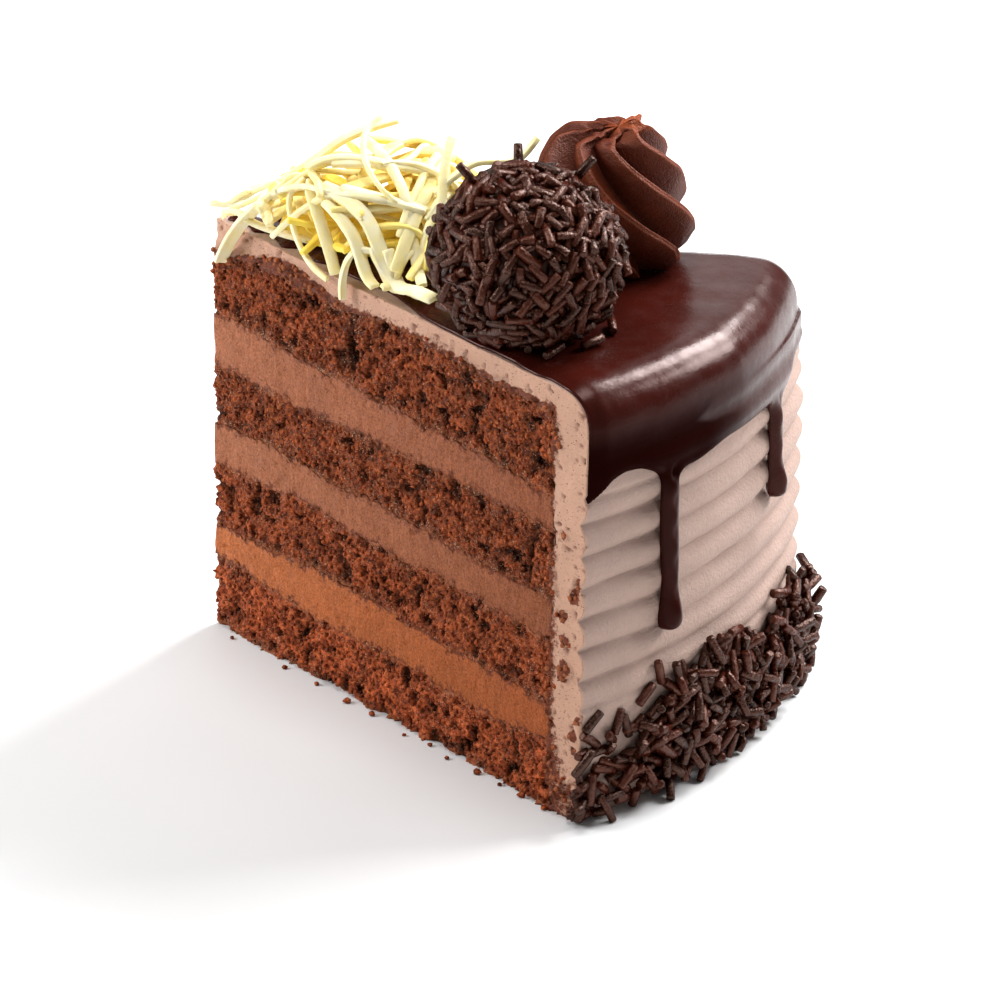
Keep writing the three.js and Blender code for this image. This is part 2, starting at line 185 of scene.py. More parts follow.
def place_xy(x, y, z):
    """Points in the frame, by place on the upright slice."""
    share = np.asarray(z) / HEIGHT
    parts = (x + LEAN[0] * share + TIP_AT[0], y + LEAN[1] * share + TIP_AT[1], z)
    return np.stack(np.broadcast_arrays(*parts), -1).astype(float)


def coat_radius(angle):
    """The coat's radius half way up."""
    return through_three(COAT_RADII, (angle / HALF_ANGLE + 1) / 2)


def coat_face(angle, z):
    """Distance from the tip to the coat, drawn in at its foot and at one shoulder."""
    below = np.maximum(0, 1 - z / FOOT_HEIGHT)
    above = smooth(z, SHOULDER_HEIGHT, HEIGHT)
    sideways = np.maximum(0, angle / HALF_ANGLE)
    return coat_radius(angle) - FOOT_DRAW_IN * below**2 - SHOULDER_DRAW_IN * above * sideways


def rim_turn(share):
    """How far over the rim's easy curve a share of its length is: outwards, down, direction."""
    steps = np.linspace(0, 1, 65)
    direction = np.pi / 2 * smooth((steps[1:] + steps[:-1]) / 2, 0, 1)
    across = np.concatenate([[0], np.cumsum(np.cos(direction))])
    down = np.concatenate([[0], np.cumsum(np.sin(direction))])
    across, down = RIM_ROUNDING * across / across[-1], RIM_ROUNDING * down / down[-1]
    share = np.clip(share, 0, 1)
    turned = np.pi / 2 * smooth(share, 0, 1)
    return np.interp(share, steps, across), np.interp(share, steps, down), turned


def top_outline(row, angle, start, top_rows, rim_rows):
    """The frosting's top and its turn over the rim: radius, height, the rim's foot, direction."""
    turn = coat_face(angle, TOP_AT_SIDE) - RIM_ROUNDING
    rim_z = frosting_top(turn) - RIM_ROUNDING
    rim_out, rim_down, bearing = rim_turn((row - top_rows) / rim_rows)
    radius = lerp(start, turn, np.clip(row / top_rows, 0, 1))
    z = frosting_top(radius)
    over = row > top_rows
    radius = np.where(over, turn + rim_out, radius)
    z = np.where(over, rim_z + RIM_ROUNDING - rim_down, z)
    return radius, z, rim_z, bearing


def layer_radius(angle):
    """How far out the sponges and fillings reach, just behind the coat."""
    return coat_radius(angle) - COAT - 0.3


def angle_at(radius, inset):
    """The widest angle that stays an inset behind the cut face."""
    return HALF_ANGLE - np.arcsin(np.clip(inset / radius, -1, 1))


def frosting_top(radius):
    """Height of the frosting under the glaze."""
    return lerp(TOP_AT_TIP, TOP_AT_SIDE, radius / COAT_RADII[1])


def layer_top(index, radius, angle):
    """Height of the seam above a layer, ragged where crumb meets cream."""
    if index < 0:
        return 0 * radius
    tops, wave = LAYERS[index]
    ripple = np.sin(radius / 7 + index * 1.9) + np.sin(radius / 11 + 9 * angle + index)
    level = through_three(tops, radius / (COAT_RADII[1] - COAT)) + 0.5 * wave * ripple
    spot = np.stack([radius * np.cos(angle), radius * np.sin(angle), 0 * radius], -1)
    ragged = 0.45 * noise(spot, 3.1, 40 + index) + 0.45 * noise(spot, 1.4, 60 + index)
    return level + ragged + 0.3 * noise(spot, 0.75, 80 + index)


# ---- unevenness -----------------------------------------------------------------------


def hashed(cells, seed):
    """A repeatable value from 0 to 1 for each whole-numbered cell."""
    x, y, z = ((cells[..., k] & 0xFFFFFFFF).astype(np.uint32) for k in range(3))
    mixed = x * np.uint32(374761393) + y * np.uint32(668265263) + z * np.uint32(2246822519)
    mixed = mixed + np.uint32((seed * 3266489917 + 374761393) & 0xFFFFFFFF)
    for shift, factor in ((15, 2246822519), (13, 3266489917)):
        mixed = (mixed ^ (mixed >> np.uint32(shift))) * np.uint32(factor)
    return (mixed ^ (mixed >> np.uint32(16))).astype(float) / 2**32


def noise(points, size, seed=0):
    """Smooth unevenness from -1 to 1 that is about size across."""
    scaled = points / size
    cell = np.floor(scaled).astype(np.int64)
    part = scaled - cell
    part = part * part * (3 - 2 * part)
    total = 0
    for corner in itertools.product((0, 1), repeat=3):
        weight = np.prod(np.where(np.array(corner) == 1, part, 1 - part), axis=-1)
        total = total + weight * hashed(cell + np.array(corner), seed)
    return 2 * total - 1


def noise_vector(points, size, seed=0):
    """Smooth unevenness in three directions."""
    return np.stack([noise(points, size, seed + 7 * k) for k in range(3)], -1)


def lumps(points, size, seed=0):
    """A packed heap of round grains: 1 at a grain's middle and 0 in the gaps."""
    scaled = points / size
    cell = np.floor(scaled).astype(np.int64)
    nearest = np.full(points.shape[:-1], 9.0)
    for corner in itertools.product((-1, 0, 1), repeat=3):
        at = cell + np.array(corner)
        middle = at + np.stack([hashed(at, seed + 11 * k) for k in range(3)], -1)
        nearest = np.minimum(nearest, ((scaled - middle) ** 2).sum(-1))
    return 1 - np.clip(nearest / 0.65, 0, 1)


# ---- meshes ---------------------------------------------------------------------------


def block(*steps):
    """The skin of a lattice: each point's place in it, and faces that point outwards."""
    index = np.indices([count + 1 for count in steps])
    last = np.array(steps).reshape(3, 1, 1, 1)
    skin = ((index == 0) | (index == last)).any(0)
    number = np.full(skin.shape, -1)
    number[skin] = np.arange(skin.sum())
    faces = []
    for axis in range(3):
        for side in (0, -1):
            sheet = np.take(number, side, axis)
            quads = np.stack([sheet[:-1, :-1], sheet[1:, :-1], sheet[1:, 1:], sheet[:-1, 1:]], -1)
            quads = quads.reshape(-1, 4)
            outward = (side == -1) != (axis == 1)
            faces.append(quads if outward else quads[:, ::-1])
    return index[:, skin].T, np.concatenate(faces)


def rings_form(rings):
    """A tube of stacked rings of points, closed by a fan at each end."""
    count, around, _ = rings.shape
    number = np.arange(count * around).reshape(count, around)
    turned = np.roll(number, -1, axis=1)
    quads = np.stack([number[:-1], turned[:-1], turned[1:], number[1:]], -1).reshape(-1, 4)
    points = rings.reshape(-1, 3)
    ends = np.array([rings[0].mean(0), rings[-1].mean(0)])
    low, high = len(points), len(points) + 1
    fans = [
        np.stack([np.full(around, low), turned[0], number[0]], -1),
        np.stack([np.full(around, high), number[-1], turned[-1]], -1),
    ]
    return np.concatenate([points, ends]), [quads, np.concatenate(fans)]


def joined(forms):
    """Several (points, faces) forms as one."""
    points, faces, start = [], [], 0
    for form_points, form_faces in forms:
        points.append(form_points)
        faces += [part + start for part in form_faces]
        start += len(form_points)
    return np.concatenate(points), faces


def signed_volume(points, faces):
    """Six times the volume inside the faces, above zero where they point outwards."""
    total = 0.0
    for part in faces:
        corners = points[part]
        for k in range(1, part.shape[1] - 1):
            a, b, c = corners[:, 0], corners[:, k], corners[:, k + 1]
            total += np.einsum("ij,ij->", a, np.cross(b, c))
    return total


def make_mesh(name, points, faces, tags=None):
    """A smooth mesh in metres from points in millimetres, with its faces turned outwards."""
    if signed_volume(points - points.mean(0), faces) < 0:
        faces = [part[:, ::-1] for part in faces]
    counts = np.concatenate([np.full(len(part), part.shape[1]) for part in faces])
    corners = np.concatenate([part.ravel() for part in faces])
    starts = np.concatenate([[0], np.cumsum(counts)[:-1]])
    mesh = bpy.data.meshes.new(name)
    mesh.vertices.add(len(points))
    mesh.vertices.foreach_set("co", (points * MM).astype(np.float32).ravel())
    mesh.loops.add(len(corners))
    mesh.loops.foreach_set("vertex_index", corners.astype(np.int32))
    mesh.polygons.add(len(counts))
    mesh.polygons.foreach_set("loop_start", starts.astype(np.int32))
    mesh.polygons.foreach_set("loop_total", counts.astype(np.int32))
    mesh.update(calc_edges=True)
    mesh.validate()
    mesh.shade_smooth()
    for tag, values in (tags or {}).items():
        attribute = mesh.attributes.new(tag, "FLOAT", "POINT")
        attribute.data.foreach_set("value", np.asarray(values, np.float32))
    return mesh


def show(mesh, material, slot, *nodes):
    """Puts a finished piece into the scene, on the slice's one body."""
    mesh.materials.clear()
    mesh.materials.append(material)
    points = np.zeros(len(mesh.vertices) * 3, np.float32)
    mesh.vertices.foreach_get("co", points)
    points[2::3] = np.maximum(points[2::3], 0)
    mesh.vertices.foreach_set("co", points)
    piece = bpy.data.objects.new(mesh.name, mesh)
    bpy.context.scene.collection.objects.link(piece)
    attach(piece, "root")
    if nodes:
        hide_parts(*nodes)
    return piece


# ---- finishes -------------------------------------------------------------------------


def add_node(tree, kind, inputs=None, **settings):
    """A node with its settings made, and its inputs set or linked."""
    made = tree.nodes.new(kind)
    for key, value in settings.items():
        setattr(made, key, value)
    for key, value in (inputs or {}).items():
        if isinstance(value, bpy.types.NodeSocket):
            tree.links.new(value, made.inputs[key])
        else:
            made.inputs[key].default_value = value
    return made


class Finish:
    """A food's surface in the making. Feature sizes are millimetres."""

    def __init__(self, name, **surface):
        self.material = bpy.data.materials.new(name)
        self.material.use_nodes = True
        self.tree = self.material.node_tree
        self.tree.nodes.clear()
        self.shader = self.add("ShaderNodeBsdfPrincipled")
        for key, value in surface.items():
            self.shader.inputs[key.replace("_", " ")].default_value = value
        self.add("ShaderNodeOutputMaterial", {"Surface": self.shader.outputs[0]})
        self.place = self.add("ShaderNodeTexCoord").outputs["Object"]

    def add(self, kind, inputs=None, **settings):
        return add_node(self.tree, kind, inputs, **settings)

    def stretched(self, x, y, z):
        """The object's coordinates scaled, so that a pattern is longer where it is small."""
        return self.add("ShaderNodeMapping", {"Vector": self.place, "Scale": (x, y, z)}).outputs[0]

    def noise(self, size, detail=3.0, rough=0.55, over=None):
        inputs = {"Vector": over or self.place, "Scale": 1 / (size * MM)}
        inputs.update({"Detail": detail, "Roughness": rough})
        return self.add("ShaderNodeTexNoise", inputs).outputs["Fac"]

    def grains(self, size):
        inputs = {"Vector": self.place, "Scale": 1 / (size * MM)}
        return self.add("ShaderNodeTexVoronoi", inputs).outputs["Distance"]

    def tag(self, name):
        return self.add("ShaderNodeAttribute", attribute_name=name).outputs["Fac"]

    def spread(self, value, low, high, to_low=0.0, to_high=1.0):
        inputs = {"Value": value, "From Min": low, "From Max": high}
        inputs.update({"To Min": to_low, "To Max": to_high})
        return self.add("ShaderNodeMapRange", inputs).outputs[0]

    def maths(self, operation, first, second=0.0):
        return self.add("ShaderNodeMath", {0: first, 1: second}, operation=operation).outputs[0]

    def mix(self, share, first, second, blend="MIX"):
        made = self.add("ShaderNodeMix", data_type="RGBA", blend_type=blend)
        for at, value in ((0, share), (6, first), (7, second)):
            if isinstance(value, bpy.types.NodeSocket):
                self.tree.links.new(value, made.inputs[at])
            else:
                made.inputs[at].default_value = value if at == 0 else colour(value)
        return made.outputs[2]

    def clouded(self, cloud, main, low):
        """A colour that is darker in patches."""
        return self.mix(self.spread(cloud, 0.3, 0.7), scaled(main, low), main)

    def smeared(self, body, crumb):
        """Crumbs dragged over a colour, thickest where the smear tag is."""
        spots = self.maths("ADD", self.noise(1.1, 4, 0.7), self.tag("smear"))
        shades = self.spread(self.noise(0.5, 3), 0.35, 0.65)
        shades = self.mix(shades, scaled(crumb, 0.4), crumb)
        return self.mix(self.spread(spots, 0.84, 0.97), body, shades)

    def paint(self, socket):
        self.tree.links.new(socket, self.shader.inputs["Base Color"])

    def shine(self, socket):
        self.tree.links.new(socket, self.shader.inputs["Roughness"])

    def shine_face_on(self, level, start=0.25, end=0.85):
        """Shine where the surface faces the eye, so that its edges don't turn grey."""
        facing = self.add("ShaderNodeLayerWeight", {"Blend": 0.5}).outputs["Facing"]
        shine = self.spread(facing, start, end, level, 0.01)
        self.shader.inputs["Specular IOR Level"].default_value = 0.5 * level
        self.tree.links.new(shine, self.shader.inputs["Specular IOR Level"])

    def raise_by(self, *heights):
        """Bumps on bumps, from (height, distance in millimetres) pairs."""
        normal = None
        for height, distance in heights:
            inputs = {"Height": height, "Distance": distance * MM, "Strength": 1.0}
            if normal is not None:
                inputs["Normal"] = normal
            normal = self.add("ShaderNodeBump", inputs).outputs[0]
        self.tree.links.new(normal, self.shader.inputs["Normal"])


def colour(value):
    """A colour with its alpha."""
    return (*tuple(value)[:3], 1.0)


def scaled(value, share):
    """A colour made lighter or darker."""
    return tuple(part * share for part in value)


def tint(red, green, blue):
    """A colour as the shader wants it, from the 0 to 255 values that a screen shows."""
    values = (value / 255 for value in (red, green, blue))
    return tuple(v / 12.92 if v <= 0.04045 else ((v + 0.055) / 1.055) ** 2.4 for v in values)


def sponge_finish(name, look, shade):
    """Torn chocolate crumb: red-brown, darker where it is moist, with painted shade in its holes."""
    finish = Finish(name, Roughness=0.6, Specular_Tint=(1.0, 0.6, 0.42, 1.0))
    finish.shine_face_on(0.3)
    coarse = finish.noise(2.2, 4, 0.62)
    fine = finish.noise(0.6, 3, 0.6)
    cells = finish.grains(0.7)
    # shade is a painted brightness for this layer, not the crumb's own colour.
    light = scaled(look.sponge_light, shade)
    dark = scaled(look.sponge_dark, shade)
    body = finish.mix(finish.spread(coarse, 0.35, 0.65), dark, light)
    # Painted glow: fine crumb drawn lighter and warmer, standing in for light coming through it.
    body = finish.mix(finish.spread(fine, 0.54, 0.7, 0.0, 0.7), body, look.sponge_painted_glow)
    # Painted shade: the fine crumb's low spots and the sunk pits are drawn in the dark hole colour.
    body = finish.mix(finish.spread(fine, 0.48, 0.32, 0.0, 0.8), body, look.sponge_hole_shade)
    hole = finish.maths("POWER", finish.tag("pit"), 1.2)
    body = finish.mix(finish.maths("MULTIPLY", hole, 0.93), body, look.sponge_hole_shade)
    patches = finish.spread(finish.noise(5, 3), 0.4, 0.7, 0.1, 0.75)
    moist = finish.maths("MULTIPLY", finish.tag("edge"), patches)
    body = finish.mix(moist, body, look.sponge_moist)
    by_edge = finish.maths("MULTIPLY", finish.tag("edge"), 0.2)
    greasy = finish.maths("ADD", finish.noise(4.5, 4, 0.6), by_edge)
    body = finish.mix(finish.spread(greasy, 0.6, 0.8, 0, 0.6), body, look.sponge_greasy)
    # Painted highlight: small pale glints, most of them where the crumb is greasy.
    glint = finish.maths("ADD", finish.noise(0.3, 2, 0.5), finish.spread(greasy, 0.4, 0.8, -0.05, 0.06))
    body = finish.mix(finish.spread(glint, 0.64, 0.72, 0, 0.75), body, look.sponge_painted_glint)
    creamy = finish.maths("ADD", finish.noise(1.3, 4, 0.7), finish.tag("smear"))
    body = finish.mix(finish.spread(creamy, 0.86, 1.02, 0, 0.75), body, look.filling_mid)
    finish.paint(body)
    finish.shine(finish.spread(finish.noise(0.6, 2), 0.4, 0.58, 0.14, 0.9))
    finish.raise_by((coarse, 0.5), (cells, 0.25), (fine, 0.28), (finish.noise(0.22, 2), 0.12))
    return finish.material


def cream_finish(name, main, smear):
    """Chocolate cream drawn by the knife: matte, grainy, with crumbs dragged over it."""
    finish = Finish(name, Roughness=0.65, Specular_IOR_Level=0.22)
    marks = finish.noise(0.8, 3, 0.6, finish.stretched(1, 1, 0.3))
    grain = finish.noise(0.4, 3, 0.65)
    cloud = finish.noise(6, 3)
    light = scaled(main, 1.08)
    body = finish.mix(finish.spread(cloud, 0.3, 0.7), scaled(main, 0.86), light)
    body = finish.mix(finish.spread(marks, 0.45, 0.7, 0, 0.5), body, scaled(main, 0.7))
    body = finish.mix(finish.spread(grain, 0.48, 0.3, 0, 0.9), body, scaled(main, 0.36))
    body = finish.mix(finish.spread(grain, 0.54, 0.7, 0, 0.75), body, scaled(main, 1.6))
    # Painted shade: the cream turns darker and richer towards the coat, where the light on the cut face
    # falls off.
    shaded_towards_coat = finish.mix(1.0, body, (0.72, 0.61, 0.5), blend="MULTIPLY")
    body = finish.mix(finish.tag("outwards"), body, shaded_towards_coat)
    finish.paint(finish.smeared(body, smear))
    finish.shine(finish.spread(marks, 0.3, 0.7, 0.55, 0.8))
    finish.raise_by((marks, 0.2), (grain, 0.16), (finish.noise(0.2, 2), 0.06))
    return finish.material


def frosting_finish(look):
    """Pale whipped frosting: satin where the comb went, pinker and pitted where it is cut, with painted
    shade in the pits.
    """
    finish = Finish("whipped frosting", Roughness=0.6, Specular_IOR_Level=0.3)
    cloud = finish.noise(9, 3)
    grain = finish.noise(0.7, 3)
    drag = finish.noise(1.1, 3, 0.6, finish.stretched(1, 1, 3.2))
    outside = finish.clouded(cloud, look.frosting, 0.9)
    outside = finish.mix(finish.spread(drag, 0.5, 0.8, 0, 0.25), outside, scaled(look.frosting, 0.8))
    inside = finish.clouded(cloud, look.frosting_cut, 0.9)
    body = finish.mix(finish.tag("cut"), outside, inside)
    # Painted shade in the cut face's pits.
    body = finish.mix(finish.tag("pit"), body, look.sponge_dark)
    specks = finish.noise(0.55, 2, 0.5, finish.stretched(1, 1, 1.8))
    speck = finish.maths("MULTIPLY", finish.spread(specks, 0.64, 0.7, 0, 0.8), finish.tag("cut"))
    body = finish.mix(speck, body, look.sponge_moist)
    finish.paint(finish.smeared(body, scaled(look.sponge_light, 0.6)))
    finish.shine(finish.spread(grain, 0.3, 0.7, 0.5, 0.72))
    finish.raise_by((drag, 0.16), (grain, 0.18), (finish.noise(0.3, 2), 0.1))
    return finish.material


def glaze_finish(look):
    """Poured dark chocolate: deep brown, nearly smooth, softly shining."""
    finish = Finish(
        "poured glaze", Roughness=0.2, Specular_IOR_Level=0.16, Specular_Tint=(1.0, 0.68, 0.62, 1.0)
    )
    cloud = finish.noise(8, 3)
    body = finish.clouded(cloud, look.glaze, 0.8)
    hanging = finish.tag("hanging")
    # Painted shade: the glaze over the side is drawn darker than the top, where less light reaches it; its
    # streaks are left lighter and shinier as painted highlights.
    body = finish.mix(finish.maths("MULTIPLY", hanging, 0.85), body, look.glaze_shaded_side)
    finish.paint(body)
    finish.tree.links.new(
        finish.spread(hanging, 0, 1, 0.2, 0.004), finish.shader.inputs["Specular IOR Level"]
    )
    rough = finish.spread(finish.noise(3, 4), 0.3, 0.7, 0.2, 0.32)
    finish.shine(finish.maths("ADD", rough, finish.maths("MULTIPLY", hanging, 0.15)))
    drag = finish.noise(1.5, 3, 0.6, finish.stretched(0.35, 0.35, 1))
    finish.raise_by((finish.noise(6, 2), 0.12), (drag, 0.05), (finish.noise(0.4, 3), 0.02))
    return finish.material


def rosette_finish(look):
    """Piped chocolate cream: satin, with a fine even grain."""
    finish = Finish("piped cream", Roughness=0.45, Specular_Tint=(1.0, 0.75, 0.65, 1.0))
    finish.shine_face_on(0.26)
    grain = finish.noise(0.5, 3, 0.6)
    cloud = finish.noise(6, 2)
    body = finish.clouded(cloud, look.rosette, 0.8)
    # Painted highlight: the fold crests are drawn a little lighter.
    body = finish.mix(finish.maths("MULTIPLY", finish.tag("crest"), 0.22), body, look.rosette_peak_and_highlight)
    body = finish.mix(finish.tag("torn"), body, look.rosette_peak_and_highlight)
    finish.paint(body)
    finish.shine(finish.spread(grain, 0.3, 0.7, 0.38, 0.55))
    finish.raise_by((grain, 0.26), (finish.noise(2.2, 2), 0.2), (finish.noise(0.25, 2), 0.08))
    return finish.material


def sprinkle_finish(look):
    """Chocolate vermicelli: glossy dark brown, with lighter patches that are partly dust and partly
    painted sheen.
    """
    finish = Finish("chocolate sprinkles", Roughness=0.3, Specular_Tint=(1.0, 0.56, 0.42, 1.0))
    finish.shine_face_on(0.66, 0.15, 0.75)
    dust_and_sheen = finish.noise(0.6, 4, 0.65)
    body = finish.mix(finish.tag("tone"), scaled(look.sprinkle, 0.15), look.sprinkle)
    # Lighter patches: partly dust, partly a painted sheen.
    body = finish.mix(finish.spread(dust_and_sheen, 0.58, 0.7, 0, 0.35), body, look.sprinkle_dust_and_sheen)
    finish.paint(body)
    finish.shine(finish.spread(dust_and_sheen, 0.35, 0.65, 0.1, 0.24))
    finish.raise_by((finish.noise(0.9, 3), 0.24), (dust_and_sheen, 0.12), (finish.noise(0.3, 2), 0.05))
    return finish.material


def truffle_finish(look):
    """The soft fudge ball under its sprinkles."""
    finish = Finish("truffle fudge", Roughness=0.4, Specular_IOR_Level=0.45)
    cloud = finish.noise(4, 4)
    # Painted glow: patches of the ball drawn warmer, as if light came through it.
    finish.paint(finish.mix(finish.spread(cloud, 0.35, 0.65), look.truffle, look.truffle_painted_glow))
    finish.shine(finish.spread(cloud, 0.3, 0.7, 0.3, 0.5))
    finish.raise_by((cloud, 0.5), (finish.noise(0.8, 3), 0.2))
    return finish.material


def shaving_finish(look):
    """White chocolate: cream-coloured, with a painted yellow glow and shade inside the heap."""
    finish = Finish(
        "white chocolate", Roughness=0.45, Specular_IOR_Level=0.45, Subsurface_Weight=0.2,
        Subsurface_Radius=(1.0, 0.8, 0.4), Subsurface_Scale=1.0 * MM,
    )
    cloud = finish.noise(2.5, 3)
    pale = finish.mix(finish.spread(cloud, 0.3, 0.7), look.shaving_shade, look.shaving)
    # Painted glow and shade: shavings deep in the heap are drawn a strong yellow.
    body = finish.mix(finish.tag("deep"), pale, look.shaving_deep_glow)
    body = finish.mix(finish.tag("browned"), body, look.shaving_browned)
    finish.paint(body)
    finish.shine(finish.spread(cloud, 0.3, 0.7, 0.38, 0.55))
    finish.raise_by((finish.noise(1.2, 3), 0.12), (finish.noise(0.4, 2), 0.04))
    return finish.material


# ---- layers ---------------------------------------------------------------------------

INWARDS = np.array([0, 0.012, 0.04, 0.1, 0.25, 0.5, 0.75, 1])
ACROSS = np.concatenate([INWARDS - 1, (1 - INWARDS)[:-1][::-1]])
# Clefts torn into the crumb at the cut face: radius, height, half width, half height, depth.
CLEFTS = ((41.4, 68.5, 1.3, 4.5, 2.4), (86, 44.8, 2.6, 1.1, 1.6), (57, 47, 1.6, 1.2, 1.4))


def crumb_height(points, depth):
    """How far torn sponge stands out: clumps of grains with holes between them."""
    bent = points + 0.35 * noise_vector(points, 1.2, 3)
    height = 0.5 * lumps(bent, 1.35, 5) + 0.32 * lumps(bent, 0.75, 9) - 0.42
    height += 0.32 * noise(points, 6, 21) + 0.42 * noise(points, 1.9, 22)
    height -= 1.0 * smooth(noise(points, 1.8, 23), 0.22, 0.6)
    height -= 0.8 * smooth(noise(points, 3.6, 24), 0.4, 0.8)
    return depth * height


def cream_height(points):
    """How far cut cream stands out: nearly flat, with upright marks and small pits."""
    upright = points * np.array([1, 1, 0.3])
    height = 0.25 * noise(points, 8, 31) + 0.12 * noise(upright, 1.2, 32)
    height += 0.1 * noise(points, 0.9, 36)
    return height - 0.45 * smooth(noise(points, 1.3, 33), 0.6, 0.9)


def layer_form(index, spacing, sizes):
    """One sponge or filling, with its two cut faces and its tip worked in detail."""
    crumbly = index % 2 == 0
    inset = SPONGE_INSET if crumbly else 0.0
    start = TIP_RADIUS + inset
    length = COAT_RADII[1] - COAT - start
    thick = LAYERS[index][0][1] - (LAYERS[index - 1][0][1] if index else 0)
    # A very narrow row at the top and at the foot keeps the edges from being shaded round.
    narrow = 0.04 / thick
    rows = np.concatenate([[0], np.linspace(narrow, 1 - narrow, round(thick / spacing)), [1]])
    steps = (round(length / spacing), len(rows) - 1, len(ACROSS) - 1)
    at, quads = block(*steps)
    along, up = at[:, 0] / steps[0], rows[at[:, 1].astype(int)]
    widest = angle_at(lerp(start, COAT_RADII[1] - COAT, along), inset)
    angle = ACROSS[at[:, 2]] * widest
    radius = lerp(start, layer_radius(angle), along)
    high = layer_top(index, radius, angle)
    low = layer_top(index - 1, radius, angle)
    z = lerp(low, high, up)
    points = place(radius, angle, z)

    side = np.exp(-(widest - np.abs(angle)) * radius / 0.8)
    front = np.exp(-(radius - start) / 0.8)
    outward = np.stack(
        [
            -math.sin(HALF_ANGLE) * side - front,
            np.sign(angle) * math.cos(HALF_ANGLE) * side,
            0 * side,
        ],
        -1,
    )
    outward /= np.maximum(1, np.linalg.norm(outward, axis=-1, keepdims=True))
    worked = np.maximum(side, front) > 0.02
    height = np.zeros(len(points))
    near = points[worked]
    if crumbly:
        height[worked] = crumb_height(near, sizes.crumb_depth / MM)
        for at_radius, at_z, half_width, half_height, depth in CLEFTS:
            off = ((radius - at_radius) / half_width) ** 2 + ((z - at_z) / half_height) ** 2
            height -= np.where(angle < 0, depth * np.exp(-off), 0)
    else:
        height[worked] = cream_height(near)
    from_edge = np.maximum(np.minimum(z - low, high - z), 0)
    if crumbly:
        height *= 1 - 0.75 * np.exp(-from_edge / 0.7) * ((index > 0) | (z > high - 2))
    points += outward * height[:, None]
    if crumbly:
        inner = worked & (up > 0) & (up < 1)
        free = side * smooth(from_edge, 0.05, 0.5)
        points[inner] += 0.16 * noise_vector(points[inner], 0.9, 51) * free[inner, None]
    if index == 0:
        points[:, 2] = np.where(up == 0, 0, np.maximum(points[:, 2], 0.05 * up))
    tags = {
        # pit: how far a spot is sunk, which carries the painted shade in holes.
        "pit": np.clip((0.05 - height) / 1.1, 0, 1),
        "edge": np.exp(-from_edge / 1.6),
        "smear": 0.12 + 0.34 * np.exp(-from_edge / 1.8),
        # outwards carries the fillings' painted shade towards the coat.
        "outwards": along,
        "cover": np.where(side > 0.9, 1.0, 0.0),
    }
    return points, [quads], tags


# ---- frosting -------------------------------------------------------------------------


def ridge_cut(angle, z, depth):
    """How far the comb has cut into the coat, a little unevenly round the side."""
    spot = np.stack([angle * 107, 0 * z, z], -1)
    turns = (z + 0.35 * noise(spot, 14, 71) - RIDGES_FROM) / RIDGE_PITCH
    inside = smooth(turns, 0, 0.25) * (1 - smooth(turns, RIDGE_COUNT - 0.25, RIDGE_COUNT))
    cut = (1 - np.abs(np.sin(np.pi * turns))) ** 1.2
    return depth * inside * cut * (1 + 0.25 * noise(spot, 9, 72))


